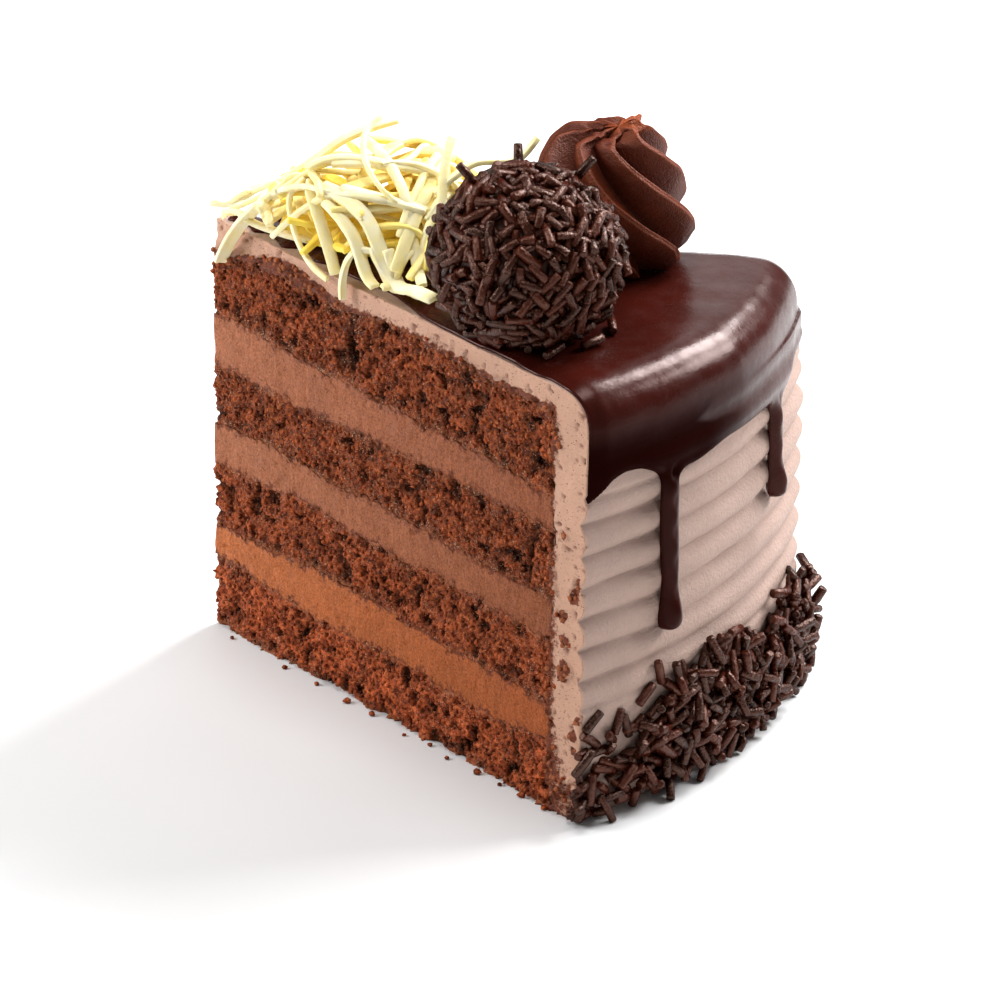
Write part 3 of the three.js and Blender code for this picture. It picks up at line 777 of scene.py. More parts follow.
def frosting_form(sizes):
    """The slab on top and the combed coat down the side, as one bent block."""
    top_steps, rim_steps, side_steps = 190, 18, 178
    steps = (top_steps + rim_steps + side_steps, 18, 66)
    at, quads = block(*steps)
    row, through = at[:, 0], at[:, 1] / steps[1]
    angle = HALF_ANGLE * np.sin(np.pi / 2 * (2 * at[:, 2] / steps[2] - 1))
    on_top = np.clip(row / top_steps, 0, 1)
    down = np.clip((row - top_steps - rim_steps) / side_steps, 0, 1)
    outer_radius, outer_z, rim_z, _ = top_outline(row, angle, TIP_RADIUS + 1.2, top_steps, rim_steps)
    over_rim = row > top_steps
    on_side = row > top_steps + rim_steps
    side_z = rim_z * (1 - down)
    combed = coat_face(angle, side_z) - ridge_cut(angle, side_z, sizes.ridge_depth / MM)
    outer_radius = np.where(on_side, combed, outer_radius)
    outer_z = np.where(on_side, side_z, outer_z)

    inner_radius = lerp(TIP_RADIUS + 0.6, layer_radius(angle), on_top)
    under = layer_top(len(LAYERS) - 1, inner_radius, angle)
    share = np.clip((row - top_steps) / (rim_steps + side_steps), 0, 1)
    inner_z = under * (1 - share)
    radius = lerp(inner_radius, outer_radius, through)
    z = lerp(inner_z, outer_z, through)
    points = place(radius, angle, z)

    cut = np.exp(-(HALF_ANGLE - np.abs(angle)) * radius / 0.5)
    side = np.sign(angle)
    outward = np.stack(
        [-math.sin(HALF_ANGLE) * cut, side * math.cos(HALF_ANGLE) * cut, 0 * cut], -1
    )
    pits = smooth(noise(points, 0.95, 74), 0.52, 0.8)
    from_crumb = np.where(on_side, through * (outer_radius - inner_radius), z - inner_z)
    crumb_line = 75.8 + 3.8 * np.exp(-(((radius - 24) / 10) ** 2))
    smear = 0.6 * np.exp(-from_crumb / (1.5 + noise(points, 5, 73))) + 0.45 * smooth(-z, -20, -1) * on_side
    smear += 0.6 * smooth(crumb_line - z, -1.2, 0.6) * ~over_rim * smooth(radius, 8, 13)
    smear *= cut
    rng = np.random.default_rng(37)
    for middle_z in np.linspace(13, 52, DRAGGED_CRUMBS):
        at_radius, at_z = rng.uniform(99.5, 104.5), middle_z + rng.uniform(-2, 2)
        size = rng.uniform(0.8, 1.7)
        off = np.hypot(radius - at_radius, z - at_z) / size + 0.3 * noise(points, 1.0, 78)
        smear += 0.6 * smooth(-off, -1.1, -0.7) * cut * (angle < 0)
    crumbed = smooth(2 * smear + 0.8 * noise(points, 1.5, 77), 0.85, 1.2)
    height = 0.18 * noise(points, 4, 75) + 0.1 * noise(points, 1.2, 76) - 0.45 * pits
    height += smooth(-radius, -34, -12) * (0.7 * noise(points, 2.6, 78) + 0.3 * noise(points, 1.1, 80))
    height += crumbed * (0.5 + crumb_height(points, 1.1))
    points += outward * height[:, None]
    skin = (through == 1) & on_side
    points[skin] += 0.12 * noise_vector(points[skin], 5, 79) * np.array([1, 0.4, 0])
    points[:, 2] = np.maximum(points[:, 2], 0)
    edge_cut = np.exp(-(HALF_ANGLE - np.abs(angle)) * radius / 0.16)
    # pit carries the painted shade in the cut face's pits.
    tags = {"cut": edge_cut, "pit": 0.75 * pits * cut, "smear": smear, "cover": crumbed * (cut > 0.9)}
    return points, [quads], tags


# ---- glaze ----------------------------------------------------------------------------


def apron_edge(angle):
    """Height of the glaze's lower edge round the side, without its drips."""
    degrees = np.degrees(angle)
    nearby = [np.interp(degrees + off, *APRON_EDGE) for off in (-0.8, -0.4, 0, 0.4, 0.8)]
    return sum(nearby) / len(nearby)


def glaze_fields(angle, z):
    """Inside distance from the glaze's edge, its thickness there, and its rounding."""
    arc = angle * COAT_RADII[1]
    inside = 0.92 * (z - apron_edge(angle))
    thick = np.full(np.shape(inside), 1.5)
    rounding = np.full(np.shape(inside), 1.7)
    for drip in DRIPS:
        middle = math.radians(drip["angle"]) * COAT_RADII[1] + 0.25 * np.sin(z / 5)
        half = drip["half_width"]
        above = z - drip["low"]
        neck = np.exp(-(((above - 9.5) / 3.5) ** 2))
        swell = half * (1.06 + 0.1 * (1 - smooth(above, 2.5, 7)) - 0.2 * neck)
        centre_z = np.clip(z, drip["low"] + half * 1.14, 72)
        reach = np.hypot(arc - middle, z - centre_z)
        within = swell - reach
        apart = np.abs(inside - within)
        near = np.maximum(3.4 - apart, 0) / 3.4
        hanging = smooth(-inside, 0, 5) * (reach < 2.2 * half)
        bulb = drip["bulb"] * (1 - smooth(above, 2, 9))
        thick = lerp(thick, drip["thickness"] + bulb, hanging)
        rounding = lerp(rounding, swell, hanging)
        inside = np.maximum(inside, within) + near * near * 3.4 / 4
    return inside, thick, rounding


def clipped_grid(inside):
    """The part of a grid where a field is positive: its points as row and column, and faces."""
    keep = inside > 0
    number = np.full(inside.shape, -1)
    places, quads, odd = [], [], []
    whole = keep[:-1, :-1] & keep[1:, :-1] & keep[1:, 1:] & keep[:-1, 1:]
    number[keep] = np.arange(keep.sum())
    places.append(np.argwhere(keep).astype(float))
    r, c = np.nonzero(whole)
    quads = np.stack([number[r, c], number[r + 1, c], number[r + 1, c + 1], number[r, c + 1]], -1)
    some = keep[:-1, :-1] | keep[1:, :-1] | keep[1:, 1:] | keep[:-1, 1:]
    crossings, extra = {}, []
    start = int(keep.sum())

    def crossing(a, b):
        key = (min(a, b), max(a, b))
        if key not in crossings:
            share = inside[a] / (inside[a] - inside[b])
            crossings[key] = start + len(extra)
            extra.append([lerp(a[0], b[0], share), lerp(a[1], b[1], share)])
        return crossings[key]

    for r, c in zip(*np.nonzero(some & ~whole)):
        ring = [(r, c), (r + 1, c), (r + 1, c + 1), (r, c + 1)]
        outline = []
        for a, b in zip(ring, ring[1:] + ring[:1]):
            if keep[a]:
                outline.append(number[a])
            if keep[a] != keep[b]:
                outline.append(crossing(a, b))
        for k in range(1, len(outline) - 1):
            odd.append([outline[0], outline[k], outline[k + 1]])
    places.append(np.array(extra).reshape(-1, 2))
    return np.concatenate(places), quads, np.array(odd, int).reshape(-1, 3)


def rim_edges(faces):
    """Edges that only one face uses, in that face's direction."""
    pairs = np.concatenate([np.stack([f, np.roll(f, -1, 1)], -1).reshape(-1, 2) for f in faces])
    key = np.sort(pairs, 1) @ np.array([1 << 32, 1])
    _, first, count = np.unique(key, return_index=True, return_counts=True)
    return pairs[first[count == 1]]


def doubled(outer, inner, faces):
    """A closed skin from an outer and an inner sheet with the same faces."""
    count = len(outer)
    edges = rim_edges(faces)
    walls = np.stack([edges[:, 1], edges[:, 0], edges[:, 0] + count, edges[:, 1] + count], -1)
    backs = [part[:, ::-1] + count for part in faces]
    return np.concatenate([outer, inner]), [*faces, *backs, walls]


def glaze_form(sizes):
    """A skin over the top that turns over the rim, hangs down the side and runs off in drips."""
    dense = [math.radians(d["angle"]) * COAT_RADII[1] for d in DRIPS]
    widest = HALF_ANGLE * COAT_RADII[1]
    arcs = [-widest]
    while arcs[-1] < widest:
        nearest = min(abs(arcs[-1] - at) for at in dense)
        arcs.append(arcs[-1] + (0.24 if nearest < 5 else 0.6))
    arcs = np.clip(arcs, -widest, widest)
    top_rows, rim_rows = 100, 24
    side_z = np.arange(72.0, 29.5, -0.3)
    total = top_rows + rim_rows + len(side_z)
    rows = np.arange(total)

    def profile(row, arc):
        angle = arc / COAT_RADII[1]
        radius, z, rim_z, bearing = top_outline(row, angle, TIP_RADIUS + 2.4, top_rows, rim_rows)
        low = np.clip((row - top_rows - rim_rows) / (len(side_z) - 1), 0, 1)
        hang_z = lerp(rim_z, side_z[-1], low)
        side = row > top_rows + rim_rows
        radius = np.where(side, coat_face(angle, hang_z), radius)
        z = np.where(side, hang_z, z)
        return angle, radius, z, bearing

    def fields(row, arc):
        angle, radius, z, _ = profile(row, arc)
        inside, thick, rounding = glaze_fields(angle, z)
        spot = np.stack([radius * np.cos(angle), radius * np.sin(angle), z], -1)
        from_tip = radius - 6.5 - 2.6 * noise(spot, 3, 81) - 1.2 * noise(spot, 1.2, 82)
        inside = np.where(z > 70, np.maximum(from_tip, -9), inside)
        return inside, thick, rounding

    grid_row, grid_arc = np.meshgrid(rows, arcs, indexing="ij")
    inside, _, _ = fields(grid_row, grid_arc)
    places, quads, odd = clipped_grid(inside)
    row = places[:, 0]
    arc = np.interp(places[:, 1], np.arange(len(arcs)), arcs)
    angle, radius, z, bearing = profile(row, arc)
    inside, thick, rounding = fields(row, arc)
    inside = np.maximum(inside, 0)
    thick = lerp(thick, sizes.glaze_thickness / MM, smooth(z, 68, 78))
    lip = np.sqrt(1 - (1 - np.clip(inside / rounding, 0, 1)) ** 2)
    from_cut = (HALF_ANGLE - np.abs(angle)) * radius
    cut_lip = np.sqrt(1 - (1 - np.clip((from_cut + 0.25) / 0.8, 0, 1)) ** 2)
    cut_lip *= lerp(0.38, 1, smooth(from_cut, 0, 3.2))
    spot = place(radius, angle, z)
    wave = 1 + 0.1 * noise(spot, 11, 83) + 0.05 * noise(spot, 5, 84)
    combed = -0.28 * np.cos(2 * np.pi * (z - RIDGES_FROM) / RIDGE_PITCH) * smooth(-z, -74, -68)
    lumpy = 1.3 * np.clip(noise(spot, 3.2, 85), 0, 1) * smooth(-radius, -20, -12)
    height = (thick * wave + combed * smooth(inside, 0.5, 2.5) + lumpy) * lip * cut_lip + 0.04
    dimple = (angle - math.radians(-9.7)) * 107
    height -= 1.1 * np.exp(-((dimple / 1.0) ** 2) - ((z - 61.6) / 1.3) ** 2)
    along = np.stack([radius, np.sign(angle) * 9, 0 * radius], -1)
    held_back = 0.3 + 2.4 * np.exp(-(((radius - 47) / 13) ** 2)) + 0.5 * noise(along, 5, 86)
    held_back += (1.5 + 1.2 * noise(along, 3, 88)) * smooth(-radius, -42, -28)
    held_back = lerp(0.2, np.clip(held_back, 0.2, 0.2 * radius), smooth(z, 72, 79))
    across = angle_at(radius, held_back) / HALF_ANGLE
    lift_r, lift_z = np.sin(bearing), np.cos(bearing)

    def sheet(lift):
        return place(radius + lift * lift_r, angle * across, z + lift * lift_z)

    tucked = np.where(row > top_rows + rim_rows, -0.9, -0.1) * np.clip(inside / 1.2, 0, 1)
    # The hanging tag carries the painted shade on the side, less of it to the right, broken by streaks of
    # painted highlight.
    hanging = smooth(-z, -78, -70) * lerp(0.5, 1, smooth(z, 57, 62)) * (1 - smooth(angle, -0.1, 0.18))
    streak = smooth(noise(spot * np.array([1, 1, 2.4]), 8, 87), 0.2, 0.5)
    hanging *= 1 - 0.32 * streak * smooth(angle, -0.26, -0.1)
    hanging = np.tile(hanging, 2)
    return *doubled(sheet(height), sheet(tucked + 0.02), [quads, odd]), {"hanging": hanging}


# ---- toppings -------------------------------------------------------------------------


def glaze_top(radius):
    """Height of the glaze that the toppings stand on."""
    return frosting_top(radius) + 1.5


def truffle_form(lift=0.0):
    """The ball under the sprinkles, flattened where it sits."""
    radius = TRUFFLE["radius"] - 2.5 + lift
    floor = float(glaze_top(math.hypot(TRUFFLE["x"], TRUFFLE["y"]) - 18))
    lowest = math.asin((floor - TRUFFLE["z"]) / (TRUFFLE["squash"] * radius))
    latitude = np.linspace(lowest, math.pi / 2, 60)[:-1][:, None]
    bearing = np.linspace(0, 2 * math.pi, 120, endpoint=False)[None, :]
    ball = np.stack(
        [
            np.cos(latitude) * np.cos(bearing),
            np.cos(latitude) * np.sin(bearing),
            TRUFFLE["squash"] * np.sin(latitude) + 0 * bearing,
        ],
        -1,
    )
    ball *= radius * (1 + 0.025 * noise(ball * 17, 5, 91)[..., None])
    middle = place_xy(TRUFFLE["x"], TRUFFLE["y"], floor)
    ball += np.array([middle[0], middle[1], TRUFFLE["z"]])
    ball[..., 2] = np.maximum(ball[..., 2], floor)
    return rings_form(ball)


def rosette_form(sizes):
    """Star-nozzle folds with sharp crests, swirling out from a torn peak to a wide foot."""
    floor = float(glaze_top(math.hypot(ROSETTE["x"], ROSETTE["y"]) - 18))
    foot = place_xy(ROSETTE["x"], ROSETTE["y"], floor)
    level = np.linspace(0, 1, 120)[:, None]
    turn = np.arange(sizes.rosette_folds * 34)[None, :] / 34
    share = turn % 1.0
    valley_at = 0.27
    falling = np.clip(1 - share / valley_at, 0, 1) ** 1.4
    rising = np.clip((share - valley_at) / (1 - valley_at), 0, 1) ** 1.25
    crest = np.where(share < valley_at, falling, rising)
    crest = crest - 0.16 * smooth(crest, 0.82, 1) * crest
    bearing = 2 * np.pi * turn / sizes.rosette_folds + math.radians(15)
    depth = lerp(0.36, 0.52, smooth(level, 0.1, 0.85))
    swell = np.interp(level, *ROSETTE_SECTION)
    radius = ROSETTE["radius"] * swell * (1 - depth * (1 - crest))
    spot = np.stack([3 * turn + 0 * level, 4 * level + 0 * turn, 0 * (level + turn)], -1)
    radius *= 1 + 0.05 * noise(spot, 1.0, 94)
    twisted = bearing + sizes.rosette_twist * (1 - level) ** 0.95 + 0.16 * crest * smooth(level, 0, 0.2)
    peak = smooth(level, 0.88, 1)
    torn_side = np.clip(np.cos(twisted - math.radians(35)), 0, 1)
    lift = 0.9 * crest * smooth(level, 0.3, 0.9)
    points = np.stack(
        [
            foot[0] + ROSETTE["lean"][0] * level + radius * np.cos(twisted) + 1.9 * peak,
            foot[1] + ROSETTE["lean"][1] * level + radius * np.sin(twisted) + 1.1 * peak,
            foot[2] + ROSETTE["height"] * level + lift - 1.6 * peak + 1.8 * peak * torn_side,
        ],
        -1,
    )
    points += 0.3 * noise_vector(points, 6, 95) * smooth(level, 0, 0.1)[..., None]
    torn = smooth(level, 0.9, 0.98)
    points += 0.8 * noise_vector(points, 1.5, 96) * torn[..., None]
    form_points, faces = rings_form(points)
    torn_tag = np.concatenate([(torn * torn_side).ravel(), [0, 1]])
    # The crest tag carries the painted highlight along the fold crests.
    crest_highlight_tag = np.concatenate([(smooth(crest, 0.6, 0.84) + 0 * level).ravel(), [0, 1]])
    return form_points, faces, {"torn": torn_tag * 0.8, "crest": crest_highlight_tag}


def spline(points, count):
    """Evenly numbered points along the smooth curve through control points."""
    points = np.asarray(points, float)
    ends = [2 * points[0] - points[1], *points, 2 * points[-1] - points[-2]]
    ends = np.array(ends)
    at = np.linspace(0, len(points) - 1, count)
    cell = np.minimum(at.astype(int), len(points) - 2)
    t = (at - cell)[:, None]
    a, b, c, d = (ends[cell + k] for k in range(4))
    bent = 2 * b + (c - a) * t + (2 * a - 5 * b + 4 * c - d) * t**2
    return 0.5 * (bent + (3 * b - a - 3 * c + d) * t**3)


# The outline across a strip: flat above and below, with narrow rounded edges.
STRIP = np.array(
    [(-1, -0.5), (-1, 0.5), (-0.93, 0.93), (-0.8, 1), (0, 1), (0.8, 1), (0.93, 0.93),
     (1, 0.5), (1, -0.5), (0.93, -0.93), (0.8, -1), (0, -1), (-0.8, -1), (-0.93, -0.93)]
)


def shaving_form(path, width, thickness, roll, blunt, rng):
    """One shaving: a strip with rounded edges, slightly cupped, along a curve."""
    count = len(path)
    forward = np.gradient(path, axis=0)
    forward /= np.linalg.norm(forward, axis=1, keepdims=True)
    # The strip's direction across is set where it lies flattest and carried along both ways.
    level = int(np.argmin(np.abs(forward[:, 2])))
    across = np.cross(forward, [0, 0, 1.0])
    across[level] /= np.linalg.norm(across[level])
    for k in [*range(level + 1, count), *range(level - 1, -1, -1)]:
        last = across[k - 1 if k > level else k + 1]
        across[k] = last - forward[k] * (last @ forward[k])
        across[k] /= np.linalg.norm(across[k])
    up = np.cross(across, forward)
    angle = roll[0] + (roll[1] - roll[0]) * np.linspace(0, 1, count)[:, None]
    flat = across * np.cos(angle) + up * np.sin(angle)
    thick = np.cross(forward, flat)
    share = np.linspace(0, 1, count)
    taper = lerp(blunt, 1, np.clip(np.minimum(share, 1 - share) * 9, 0, 1) ** 0.6)
    taper[[0, -1]] *= 0.8
    path = path.copy()
    path[0] = lerp(path[1], path[0], 0.12)
    path[-1] = lerp(path[-2], path[-1], 0.12)
    uneven = 1 + 0.15 * rng.standard_normal(count).cumsum() / math.sqrt(count)
    half = 0.5 * width * (taper * uneven)[:, None]
    cup = 0.25 * thickness * (STRIP[:, 0] ** 2)[None, :]
    lift = 0.5 * thickness * STRIP[:, 1] * np.sqrt(taper)[:, None] + cup
    rings = path[:, None, :] + flat[:, None, :] * (STRIP[:, 0] * half)[..., None]
    return rings_form(rings + thick[:, None, :] * lift[..., None])


def heap_height(x, y):
    """How high the heap stands at a place, above the glaze."""
    off = np.hypot((x - HEAP["x"]) / HEAP["length"], (y - HEAP["y"]) / HEAP["width"])
    rise = lerp(0.35, 1, float(smooth(np.float64(x), 8, HEAP["x"])))
    return HEAP["height"] * rise * math.sqrt(max(0.0, 1 - off * off))


def inside_wedge(x, y, margin):
    """Whether a place on top of the slice is a margin inside its cut faces."""
    return x * math.sin(HALF_ANGLE) - abs(y) * math.cos(HALF_ANGLE) > margin


def draped(start, heading, turn, length, lift):
    """A path over the heap that hangs down where it passes the near cut face."""
    steps, clear = 25, 1.9
    course = []
    near = np.array([math.cos(HALF_ANGLE), -math.sin(HALF_ANGLE)])
    outward = np.array([-math.sin(HALF_ANGLE), -math.cos(HALF_ANGLE)])
    spot = np.array([HEAP["x"] + start[0] * HEAP["length"], HEAP["y"] + start[1] * HEAP["width"]])
    ground = HEAP_FOOT + heap_height(*spot)
    for k in range(steps + 1):
        hanging = float(smooth(np.float64(spot @ outward), -0.5, clear))
        over = HEAP_FOOT + heap_height(*spot)
        ground = lerp(over, min(ground, over), hanging)
        course.append((*spot, ground + lerp(*lift, k / steps)))
        bearing = math.radians(heading + turn * k / steps)
        way = np.array([math.cos(bearing), math.sin(bearing)]) * length / steps
        out = way @ outward
        spot = spot + near * (way @ near) + outward * out * (1 - hanging)
        ground -= out * hanging
    points = np.array(course)[::5]
    return spline(place_xy(points[:, 0], points[:, 1], points[:, 2]), 26)


def shavings_form(sizes):
    """The heap of separate shavings: chosen ones on top, and scattered ones under them."""
    rng = np.random.default_rng(11)
    width_share = sizes.shaving_width / MM / 2.0
    thickness = sizes.shaving_thickness / MM
    forms, deep, browned = [], [], []

    def add(path, width, roll, blunt, depth, burnt=0.0):
        form = shaving_form(path, width * width_share, thickness, roll, blunt, rng)
        forms.append(form)
        deep.append(np.full(len(form[0]), depth))
        rows = np.repeat(np.linspace(0, 1, len(path)), len(STRIP))
        burn = burnt * np.exp(-rows / 0.03)
        browned.append(np.concatenate([burn, [burnt, 0]]))

    for number, (*course, width) in enumerate(TOP_SHAVINGS):
        burnt = 0.9 if number < 2 else 0.0
        roll = rng.uniform(-0.5, 0.5, 2)
        add(draped(*course), width, roll, 0.85, rng.uniform(0.0, 0.22), burnt)
    made = 0
    while made < sizes.shaving_count:
        x = rng.uniform(13, 60)
        y = rng.uniform(-20, 20)
        high = heap_height(x, y)
        if high < 1.5 or not inside_wedge(x, y, -1.5):
            continue
        made += 1
        level = rng.uniform(0.05, 1) ** 0.8
        length = rng.uniform(17, 33)
        heading = rng.uniform(0, math.pi)
        tilt = rng.uniform(-0.35, 0.35)
        bend = rng.uniform(-0.35, 0.35)
        side = np.array([math.cos(heading), math.sin(heading), tilt])
        turned = np.array([-math.sin(heading), math.cos(heading), 0])
        middle = np.array([x, y, HEAP_FOOT + high * level])
        share = np.linspace(-0.5, 0.5, 5)[:, None]
        points = middle + side * share * length
        points += turned * bend * length * (0.25 - share**2)
        points[:, 2] += rng.uniform(-0.1, 0.35) * length * (0.25 - share[:, 0] ** 2)
        for point in points:
            if point[0] < 6 or not inside_wedge(point[0], point[1], -2.5):
                point[:2] = lerp(middle[:2], point[:2], 0.45)
            roof = LOWEST_ROOF + heap_height(point[0], point[1]) + 0.2
            point[2] = min(max(point[2], LOWEST_SHAVING), max(roof, LOWEST_ROOF))
        path = spline(place_xy(points[:, 0], points[:, 1], points[:, 2]), 18)
        # How much painted yellow glow a shaving takes: more the lower it lies in the heap.
        depth = float(np.clip(1.75 - 1.45 * level, 0, 1) * smooth(np.float64(x), 15, 26))
        width = rng.uniform(1.3, 2.4)
        add(path, width, rng.uniform(-0.9, 0.9, 2), rng.uniform(0.5, 0.9), depth)
    points, faces = joined(forms)
    return points, faces, {"deep": np.concatenate(deep), "browned": np.concatenate(browned)}


def heap_core_form():
    """What holds the heap up inside: a low mound, kept under the shavings."""
    bearing = np.linspace(0, 2 * np.pi, 64, endpoint=False)[None, :]
    level = np.linspace(0, 1, 22)[:, None]
    spread = np.sqrt(1 - level**2 * 0.98) * 0.62
    x = HEAP["x"] + 5 * level + HEAP["length"] * spread * np.cos(bearing)
    y = HEAP["y"] + 0.62 * HEAP["width"] * spread * np.sin(bearing)
    limit = np.maximum(x * math.tan(HALF_ANGLE) - 2.5, 0.5)
    y = np.clip(y, -limit, limit)
    rise = lerp(0.35, 1, smooth(x, 8, HEAP["x"]))
    z = CORE_FOOT + 0.45 * HEAP["height"] * level * rise
    rings = place_xy(x, y, z)
    rings += 0.9 * noise_vector(rings, 3, 97) * smooth(level, 0, 0.2)[..., None]
    return rings_form(rings)


# ---- scattered things -----------------------------------------------------------------


def sprinkle_mesh(sizes):
    """One sprinkle along X: eight-sided, with its ends broken off square."""
    half, thick = sizes.sprinkle_length / MM / 2, sizes.sprinkle_thickness / MM / 2
    stations = ((-1, 0.6), (-0.985, 0.88), (-0.92, 1), (0.1, 1.04), (0.92, 0.97), (0.985, 0.86), (1, 0.58))
    bearing = np.linspace(0, 2 * np.pi, 8, endpoint=False)
    rings = np.array(
        [
            np.stack([np.full(8, at * half), thick * r * np.cos(bearing), thick * r * np.sin(bearing)], -1)
            for at, r in stations
        ]
    )
    rings[..., 2] += 0.12 * thick * (1 - np.array([s[0] for s in stations])[:, None] ** 2)
    return make_mesh("sprinkle form", *rings_form(rings))


def crumb_mesh(size):
    """One crumb: an uneven lump with few faces."""
    golden = (1 + 5**0.5) / 2
    corners = [(0, a, b * golden) for a in (-1, 1) for b in (-1, 1)]
    corners += [(a, b * golden, 0) for a in (-1, 1) for b in (-1, 1)]
    corners += [(b * golden, 0, a) for a in (-1, 1) for b in (-1, 1)]
    points = np.array(corners, float) / math.hypot(1, golden)
    near = np.linalg.norm(points[:, None] - points[None], axis=-1)
    faces = []
    for a, b, c in itertools.combinations(range(12), 3):
        if max(near[a, b], near[b, c], near[a, c]) < 1.1:
            middle = points[[a, b, c]].mean(0)
            normal = np.cross(points[b] - points[a], points[c] - points[a])
            faces.append([a, b, c] if normal @ middle > 0 else [a, c, b])
    points *= 1 + 0.25 * noise(points * 3, 1.3, 98)[:, None]
    return make_mesh("crumb form", points * size / 2, [np.array(faces)])


SCATTER_INPUTS = (
    ("Form", "NodeSocketObject"),
    ("Spacing", "NodeSocketFloat"),
    ("Lift", "NodeSocketFloat"),
    ("Tilt", "NodeSocketFloat"),
    ("Shortest", "NodeSocketFloat"),
    ("Longest", "NodeSocketFloat"),
    ("Unevenness", "NodeSocketFloat"),
    ("Seed", "NodeSocketInt"),
    ("Finish", "NodeSocketMaterial"),
)


def scatter_tree():
    """Lays a form all over a carrier, where its cover tag allows, each one turned at random."""
    tree = bpy.data.node_groups.new("Scatter over a surface", "GeometryNodeTree")
    new_socket = tree.interface.new_socket
    new_socket("Geometry", in_out="INPUT", socket_type="NodeSocketGeometry")
    for name, kind in SCATTER_INPUTS:
        new_socket(name, in_out="INPUT", socket_type=kind)
    new_socket("Geometry", in_out="OUTPUT", socket_type="NodeSocketGeometry")

    def add(kind, inputs=None, **settings):
        return add_node(tree, kind, inputs, **settings)

    given = add("NodeGroupInput").outputs

    def maths(operation, first, second=0.0):
        return add("ShaderNodeMath", {0: first, 1: second}, operation=operation).outputs[0]

    def chance(low, high, salt):
        seed = maths("ADD", given["Seed"], float(salt))
        made = add("FunctionNodeRandomValue", {2: low, 3: high, "Seed": seed}, data_type="FLOAT")
        return made.outputs[1]

    def vector(x=0.0, y=0.0, z=0.0):
        return add("ShaderNodeCombineXYZ", {0: x, 1: y, 2: z}).outputs[0]

    cover = add("GeometryNodeInputNamedAttribute", {"Name": "cover"}, data_type="FLOAT")
    spots = add(
        "GeometryNodeDistributePointsOnFaces",
        {
            "Mesh": given["Geometry"],
            "Distance Min": given["Spacing"],
            "Density Max": 3.0e6,
            "Density Factor": cover.outputs[0],
            "Seed": given["Seed"],
        },
        distribute_method="POISSON",
    )
    tilt = chance(maths("MULTIPLY", given["Tilt"], -1.0), given["Tilt"], 1)
    spin = add(
        "FunctionNodeEulerToRotation", {0: vector(y=tilt, z=chance(0.0, 2 * math.pi, 2))}
    )
    rotation = add(
        "FunctionNodeRotateRotation",
        {0: spots.outputs["Rotation"], 1: spin.outputs[0]},
        rotation_space="LOCAL",
    )
    scale = vector(
        chance(given["Shortest"], given["Longest"], 3),
        chance(0.88, 1.12, 4),
        chance(0.88, 1.12, 5),
    )
    form = add("GeometryNodeObjectInfo", {"Object": given["Form"]})
    placed = add(
        "GeometryNodeInstanceOnPoints",
        {
            "Points": spots.outputs["Points"],
            "Instance": form.outputs["Geometry"],
            "Rotation": rotation.outputs[0],
            "Scale": scale,
        },
    )
    lifted = add(
        "GeometryNodeTranslateInstances",
        {
            "Instances": placed.outputs[0],
            "Translation": vector(z=chance(0.0, given["Lift"], 6)),
            "Local Space": True,
        },
    )
    toned = add(
        "GeometryNodeStoreNamedAttribute",
        {"Geometry": lifted.outputs[0], "Name": "tone", "Value": chance(0.0, 1.0, 7)},
        data_type="FLOAT",
        domain="INSTANCE",
    )
    real = add("GeometryNodeRealizeInstances", {"Geometry": toned.outputs[0]})
    wobble = add("ShaderNodeTexNoise", {"Scale": 1 / (2.6 * MM), "Detail": 2.0}, noise_dimensions="3D")
    centred = add(
        "ShaderNodeVectorMath", {0: wobble.outputs["Color"], 1: (0.5, 0.5, 0.5)}, operation="SUBTRACT"
    )
    offset = add(
        "ShaderNodeVectorMath", {0: centred.outputs[0], "Scale": given["Unevenness"]}, operation="SCALE"
    )
    moved = add("GeometryNodeSetPosition", {"Geometry": real.outputs[0], "Offset": offset.outputs[0]})
    smoothed = add("GeometryNodeSetShadeSmooth", {"Geometry": moved.outputs[0]})
    finished = add(
        "GeometryNodeSetMaterial", {"Geometry": smoothed.outputs[0], "Material": given["Finish"]}
    )
    add("NodeGroupOutput", {"Geometry": finished.outputs[0]})
    return tree


def scattered(name, carrier_mesh, form_mesh, **values):
    """The scatter tree's result on a carrier, as a plain mesh."""
    tree = bpy.data.node_groups.get("Scatter over a surface") or scatter_tree()
    form = bpy.data.objects.new("form", form_mesh)
    carrier = bpy.data.objects.new("carrier", carrier_mesh)
    bpy.context.scene.collection.objects.link(carrier)
    modifier = carrier.modifiers.new("Scatter", "NODES")
    modifier.node_group = tree
    values["Form"] = form
    for item in tree.interface.items_tree:
        if item.in_out == "INPUT" and item.name in values:
            modifier[item.identifier] = values[item.name]
    evaluated = carrier.evaluated_get(bpy.context.evaluated_depsgraph_get())
    mesh = bpy.data.meshes.new_from_object(evaluated)
    mesh.name = name
    carrier.modifiers.remove(modifier)
    bpy.data.objects.remove(carrier)
    bpy.data.objects.remove(form)
    if not mesh.polygons:
        raise RuntimeError(f"{name}: the scatter made nothing")
    return mesh


def merged(name, meshes):
    """Several meshes as one, keeping their tags."""
    objects = []
    for mesh in meshes:
        made = bpy.data.objects.new("part", mesh)
        bpy.context.scene.collection.objects.link(made)
        objects.append(made)
    with bpy.context.temp_override(active_object=objects[0], selected_editable_objects=objects):
        bpy.ops.object.join()
    mesh = objects[0].data
    bpy.data.objects.remove(objects[0])
    mesh.name = name
    return mesh


def opened(form):
    """A mesh's points in millimetres and its faces."""
    base = np.zeros(len(form.vertices) * 3, np.float32)
    form.vertices.foreach_get("co", base)
    corners = [p.vertices[:] for p in form.polygons]
    faces = [np.array([c for c in corners if len(c) == n]) for n in (4, 3)]
    return base.reshape(-1, 3) / MM, [part for part in faces if len(part)]


